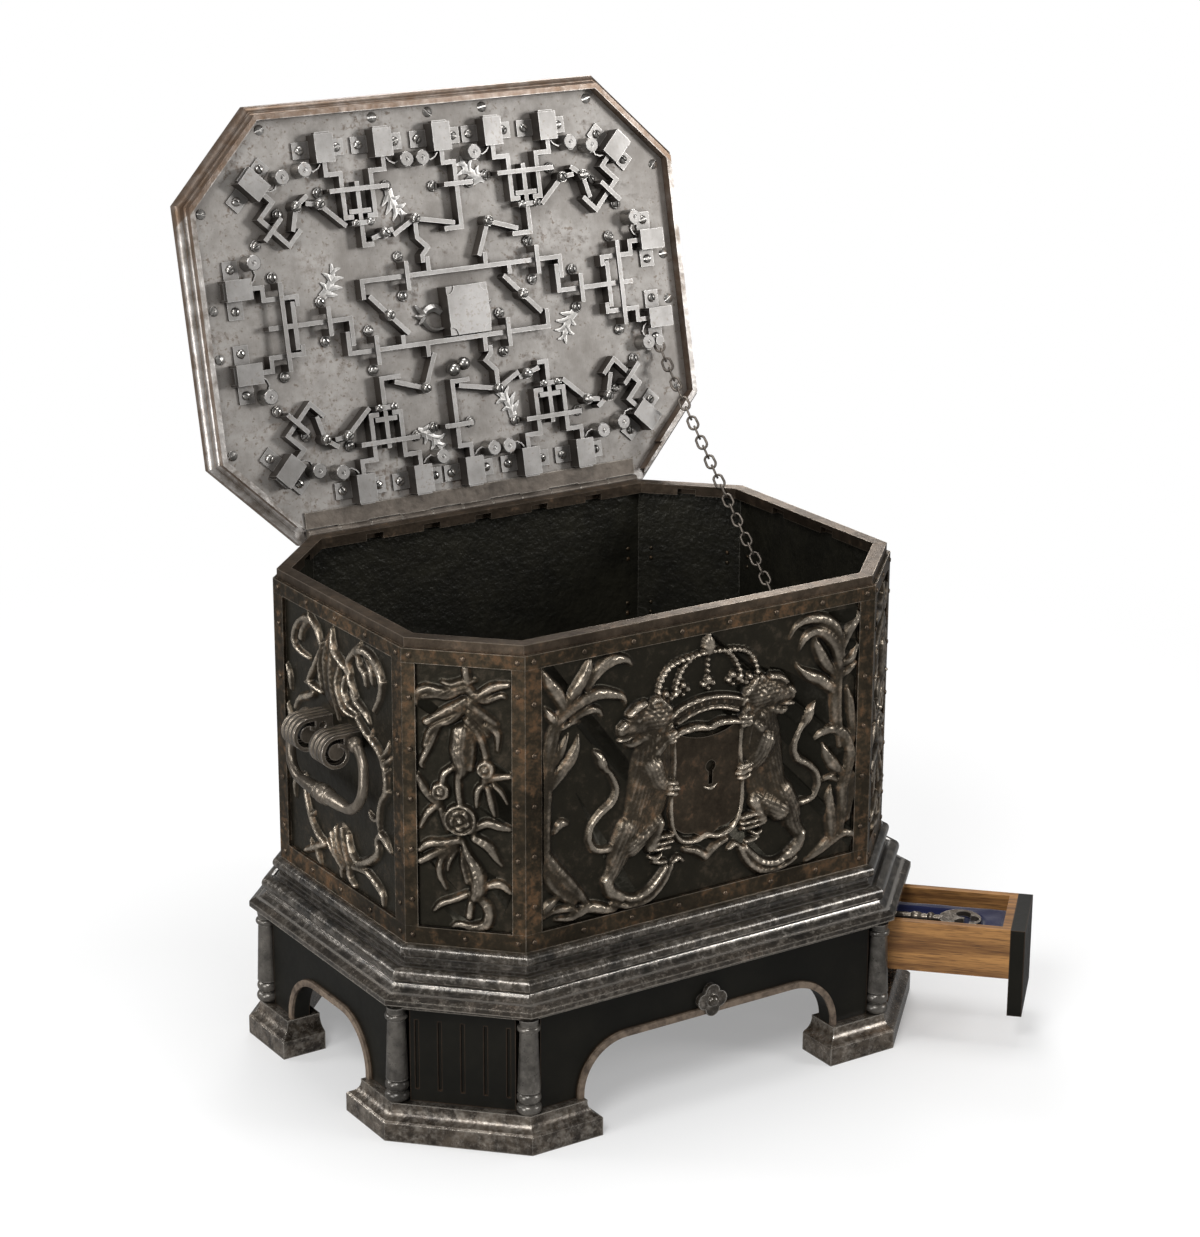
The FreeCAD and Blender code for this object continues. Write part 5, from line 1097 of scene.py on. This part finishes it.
# rivets along the straps of the case, outside and in
rivetSet = {
    "top": 513.5, "bottom": 215.5, "spacing": 60, "size": 3.1, "inside": 2.7, "strap": 4.0, "wall": 3.0,
    "rows": (250, 306, 362, 418, 474), "insideRows": (240, 252, 306, 318, 372, 384, 438, 450), "inset": 16,
    "wander": 5, "hingeSide": "back",
}


def caseRivets(s):
    outside, inside = [], []
    for index, side in enumerate(caseSides):
        middle, along, out = sideFrame(side)
        half, strip = caseSides[side][2:]

        def spot(t, z, away):
            return tuple(middle + along * t + out * away + np.array((0, 0, z)))

        edge = half - strip / 2
        count = max(2, round(2 * edge / s["spacing"])) + 1
        for t in np.linspace(-edge, edge, count):
            outside.append((spot(t, s["bottom"], s["strap"]), out, along, s["size"]))
            if side != s["hingeSide"]:
                outside.append((spot(t, s["top"], s["strap"]), out, along, s["size"]))
        for z in s["rows"]:
            for t in (-edge, edge):
                shift = s["wander"] * math.sin(z + index + t)
                outside.append((spot(t, z + shift, s["strap"]), out, along, s["size"]))
        for z in s["insideRows"]:
            for t in (s["inset"] - half, half - s["inset"]):
                inside.append((spot(t, z, -s["wall"]), -out, along, s["inside"]))
    rideOn(scatter("caseRivets", rivetShape, outside, "rimIron"), "case")
    rideOn(scatter("insideRivets", rivetShape, inside, "strapIron"), "case")


caseRivets(rivetSet)
print("rivets set")

# screws, strap feet, spring-post heads and knobs of the lock: a half turn gives the other half
lockSet = {
    "keepers": [
        (-142, 185, 0), (-70, 185, 0), (4, 185, 0), (70, 185, 0), (142, 185, 0), (264.5, 45, -90), (264.5, -45, -90),
        (-231, 154, 45), (231, 154, -45),
    ],
    "posts": [(-142, -1), (-70, 1), (4, -1), (70, -1), (142, 1)], "earReach": 22.5, "earTop": 2.5, "screw": 5.0,
    "pivots": [(-40, 99), (-79, 87.4), (52, 87), (-86, -2), (-155, 126), (-183, 126), (155, 126), (183, 126)],
    "pivotTop": 17.4, "pivotScrew": 5.2,
    "plate": [
        (-70, 213), (70, 213), (208, 211), (-208, 211), (289, 129), (-289, 129), (289, 26), (-289, 26), (0, 213),
    ],
    "straps": [
        (-106, 138, 0, 32.5), (106, 138, 0, 32.5), (18, 132, 0, 14), (216, 0, 90, 44), (162, 0, 90, 12),
        (-60, 38, 90, 12), (108, 38, 90, 12), (-215.4, 104.5, 45, 12), (215.4, 104.5, -45, 12),
    ],
    "shortStraps": [(-106, 101, 9), (106, 101, 9)], "plateScrew": 5.6, "footOut": 9.5, "foot": 6.3,
    "footTop": 3.1, "strapTop": 19.0, "drum": 8.3, "drumTop": 18.0, "knobs": [(-13, -71), (0, -66)], "postAside": 27,
    "postIn": 21, "frontRow": 185, "sideRow": (45, 264.5), "cornerRow": (-54.45, 272.2), "shortScrew": 4.2,
}


def lockScrews(s):
    def drum(x, y, turn=0):
        return (*turnPlan(x, y - s["postIn"], turn), s["drumTop"], s["drum"])

    def both(spots):
        return [onLid(h * x, h * y, z, r) for x, y, z, r in spots for h in (1, -1)]

    screws, feet = [], []
    for x, y, turn in s["keepers"]:
        for hand in (-1, 1):
            dx, dy = turnPlan(hand * s["earReach"], 0, turn)
            screws.append((x + dx, y + dy, s["earTop"], s["screw"]))
    screws += [(x, y, s["pivotTop"], s["pivotScrew"]) for x, y in s["pivots"]]
    for x, y, turn, half in s["straps"]:
        for hand in (-1, 1):
            dx, dy = turnPlan(hand * (half + s["footOut"]), 0, turn)
            feet.append((x + dx, y + dy, 0.0, s["foot"]))
            screws.append((x + dx, y + dy, s["footTop"], s["screw"]))
    for x, y, half in s["shortStraps"]:
        screws += [(x + hand * half, y, s["strapTop"], s["shortScrew"]) for hand in (-1, 1)]
    aside = s["postAside"]
    drums = [drum(x + hand * aside, s["frontRow"]) for x, hand in s["posts"]]
    drums += [drum(hand * (s["sideRow"][0] + aside), s["sideRow"][1], -90) for hand in (-1, 1)]
    x, y, *top = drum(s["cornerRow"][0] + aside, s["cornerRow"][1], 45)
    drums += [(x, y, *top), (-x, y, *top)]
    knobs = [onLid(x, y, 0.0, 1.0) for x, y in s["knobs"]]
    flush = [(x, y, 0.0, s["plateScrew"]) for x, y in s["plate"]]
    for name, shape, spots, finish, spin in (
            ("lockScrews", screwHeads, both(screws), "screwSteel", math.pi),
            ("plateScrews", flushHeads, both(flush), "screwSteel", math.pi),
            ("springPostHeads", drumShape, both(drums), "brightSteel", math.pi),
            ("strapFeet", footShape, both(feet), "brightSteel", 0.0),
            ("lockKnobs", knobShape, knobs, "screwSteel", 0.0)):
        rideOn(scatter(name, shape, spots, finish, spin), "lid")


lockScrews(lockSet)
print("lock screws set")

# cut leaves at the strap ends and scrolls beside the lock case: strokes of (x, y, half width) with a ridge
leafSet = {
    "strokes": [
        [(0, 0, 4.6), (8, 3, 4.8), (17, 9, 4.2), (24, 18, 3), (27, 28, 0.8)],
        [(5, 1, 2.6), (12, -2, 2.6), (19, -6, 0.7)], [(11, 4, 2.8), (20, 3, 2.6), (28, -1, 0.7)],
        [(17, 9, 2.8), (26, 11, 2.4), (34, 8, 0.7)], [(22, 17, 2.4), (29, 20, 2), (35, 19, 0.6)],
        [(9, 4, 2.4), (9, 10, 2.2), (6, 15, 0.6)], [(18, 11, 2.4), (17, 18, 2.2), (13, 23, 0.6)],
    ],
    "places": [(-62, 134, -101, 1), (62, 134, -178, -1), (-160, 26, 18, 1)], "base": 0.0, "ridge": 2.2, "side": 0.84,
    "scrolls": [
        [(-15, -6, 4), (-24, -1, 4.4), (-33, -3, 3.8), (-39, -9, 2.8)],
        [(-37, -6, 2.8), (-43, -1, 2.6), (-47, 4, 0.8)], [(-37, -8, 2.8), (-44, -9, 2.6), (-48, -7, 0.8)],
        [(-37, -10, 2.6), (-41, -15, 2.4), (-45, -17, 0.8)],
        [(-40, -14, 2), (-33, -22, 2.2), (-24, -26, 2.2), (-15, -25, 1.6)],
        [(37, -1, 2.8), (43, 3, 2.6), (47, 9, 0.8)], [(37, -4, 2.8), (45, -4, 2.6), (50, -1, 0.7)],
        [(37, -7, 2.6), (43, -11, 2.4), (47, -16, 0.7)],
    ],
    "scrollRidge": 7.0, "scrollSide": 0.55,
}


def ribbonMesh(name, strokes, finish):
    points, faces = [], []
    for path, base, ridge, side in strokes:
        run = smoothPath(path, 4)
        along = np.gradient(run[:, :2], axis=0)
        along /= np.linalg.norm(along, axis=1)[:, None]
        widest = run[:, 2].max()
        first = len(points)
        for (x, y, half), (dx, dy) in zip(run, along):
            top = base + ridge * max(math.sqrt(half / widest), side + 0.02)
            points += [(x - dy * half, y + dx * half, base + side * ridge), (x, y, base - 0.3),
                       (x + dy * half, y - dx * half, base + side * ridge), (x, y, top)]
        last = len(run) - 1
        for i in range(last):
            for k in range(4):
                a, b = first + 4 * i + k, first + 4 * i + (k + 1) % 4
                faces.append((a, b, b + 4, a + 4))
        faces += [(first + 3, first + 2, first + 1, first), tuple(first + 4 * last + k for k in range(4))]
    piece = shapeOf(name, [(lidPlan @ Vector(p))[:] for p in points], faces, False)
    return rideOn(piece, "lid", finish)


def lockLeaves(s):
    leaves = []
    for x, y, turn, hand in s["places"]:
        for half in (0, 180):
            px, py = turnPlan(x, y, half)
            for stroke in s["strokes"]:
                spots = [(*turnPlan(a, hand * b, turn + half), r) for a, b, r in stroke]
                leaves.append(([(px + a, py + b, r) for a, b, r in spots], s["base"], s["ridge"], s["side"]))
    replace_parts(ribbonMesh("lockLeaves", leaves, "leafSteel"), "leaf_ornaments")
    scrolls = [(stroke, s["base"], s["scrollRidge"], s["scrollSide"]) for stroke in s["scrolls"]]
    ribbonMesh("caseScrolls", scrolls, "leafSteel")


lockLeaves(leafSet)
print("leaves and scrolls cut")

# stay chain of turned links from the lid to the staple on the right end
chainSet = {
    "start": (261.5, 254.69, 682.2), "end": (282.0, 10.4, 392.0), "links": 30, "sag": 5.0, "width": 13.6, "wire": 1.5,
    "play": 6.0, "facing": (-0.56, -0.785, 0.27),
}


def stayChain(s):
    start, end = np.array(s["start"]), np.array(s["end"])
    span = end - start
    sag = np.cross(span, (1, 0, 0))
    sag = sag / np.linalg.norm(sag)
    sag = sag if sag[2] < 0 else -sag
    at = [start + span * t + sag * 4 * s["sag"] * t * (1 - t) for t in np.linspace(0, 1, s["links"] + 1)]
    spots = []
    for index, (a, b) in enumerate(zip(at[:-1], at[1:])):
        run = (b - a) / np.linalg.norm(b - a)
        front = np.array(s["facing"])
        front = front - run * (front @ run)
        across = front if index % 2 else np.cross(run, front)
        spots.append((tuple((a + b) / 2), tuple(run), tuple(across), 1.0))
    pitch = np.linalg.norm(span) / s["links"]
    shape = linkShape("linkShape", s["width"], pitch + s["play"], s["wire"])
    chain = scatter("stayChain", shape, spots, "chainIron")
    bpy.data.objects.remove(shape)
    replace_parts(chain, "stay_chain")
    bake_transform(chain)


stayChain(chainSet)
print("chain hung")

# velvet bed of the drawer, crowned, with a hollow for the key
bedSet = {
    "half": 42.6, "back": -35.6, "front": 150.6, "base": 87.4, "top": 124.0, "round": 7.0, "fall": 3.4, "deep": 7.0,
    "slot": (-9.2, 27.0, -30.0, 101.0), "well": (0.0, 101.0, 26.0), "soft": 2.6, "pitch": 1.5, "low": 0.6,
    "spare": 0.4, "drift": 0.35, "wave": (0.21, 1.3, 0.07, 0.11), "caseSide": "frontRight",
}


def velvetBed(s):
    across = np.linspace(-s["half"], s["half"], int(2 * s["half"] / s["pitch"]))
    along = np.linspace(s["back"], s["front"], int((s["front"] - s["back"]) / s["pitch"]))
    x, z = np.meshgrid(across, along)
    edge = np.minimum(s["half"] - abs(x), np.minimum(z - s["back"], s["front"] - z))
    crown = np.clip(1 - edge / s["round"], 0, 1) ** 2 * s["fall"]
    x0, x1, z0, z1 = s["slot"]
    inSlot = np.minimum(np.minimum(x - x0, x1 - x), np.minimum(z - z0, z1 - z))
    inWell = s["well"][2] - np.hypot(x - s["well"][0], z - s["well"][1])
    sunk = np.clip(0.5 + np.maximum(inSlot, inWell) / s["soft"], 0, 1)
    sunk = sunk * sunk * (3 - 2 * sunk)
    pace, bend, turn, crossPace = s["wave"]
    drift = s["drift"] * np.sin(x * pace + bend * np.sin(z * turn)) * np.sin(z * crossPace)
    middle, side, ahead = sideFrame(s["caseSide"])
    spots = middle + x[..., None] * side + z[..., None] * ahead
    spots[..., 2] = s["top"] - s["low"] - crown - sunk * (s["deep"] - s["spare"]) + drift * (1 - sunk)
    bed = closedGrid("velvetBed", spots, lambda rim: np.column_stack([rim[:, :2], np.full(len(rim), s["base"])]), True)
    rideOn(bed, "drawer", "velvet")
    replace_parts(bed, "drawer_bed")


velvetBed(bedSet)
print("velvet laid")

# cover of the lock case
coverSet = {"middle": (11.0, -6.5), "half": (26.0, 27.0), "low": 20.0, "high": 21.4, "bite": 9.0, "steps": 6}


def lockCover(s):
    (w, d), (mx, my), bite = s["half"], s["middle"], s["bite"]
    rim = []
    for sx, sy, start in ((1, 1, 270), (-1, 1, 0), (-1, -1, 90), (1, -1, 180)):
        for k in range(s["steps"] + 1):
            a = math.radians(start - 90 * k / s["steps"])
            rim.append((mx + sx * w + bite * math.cos(a), my + sy * d + bite * math.sin(a)))
    count = len(rim)
    points = [(lidPlan @ Vector((x, y, z)))[:] for z in (s["low"], s["high"]) for x, y in rim]
    faces = [(k, (k + 1) % count, count + (k + 1) % count, count + k) for k in range(count)]
    faces.append(tuple(range(count, 2 * count)))
    rideOn(shapeOf("lockCover", points, faces, False), "lid", "brightSteel")


lockCover(coverSet)
print("lock covered")

for shape in (rivetShape, screwHeads, flushHeads, drumShape, footShape, knobShape):
    bpy.data.objects.remove(shape)
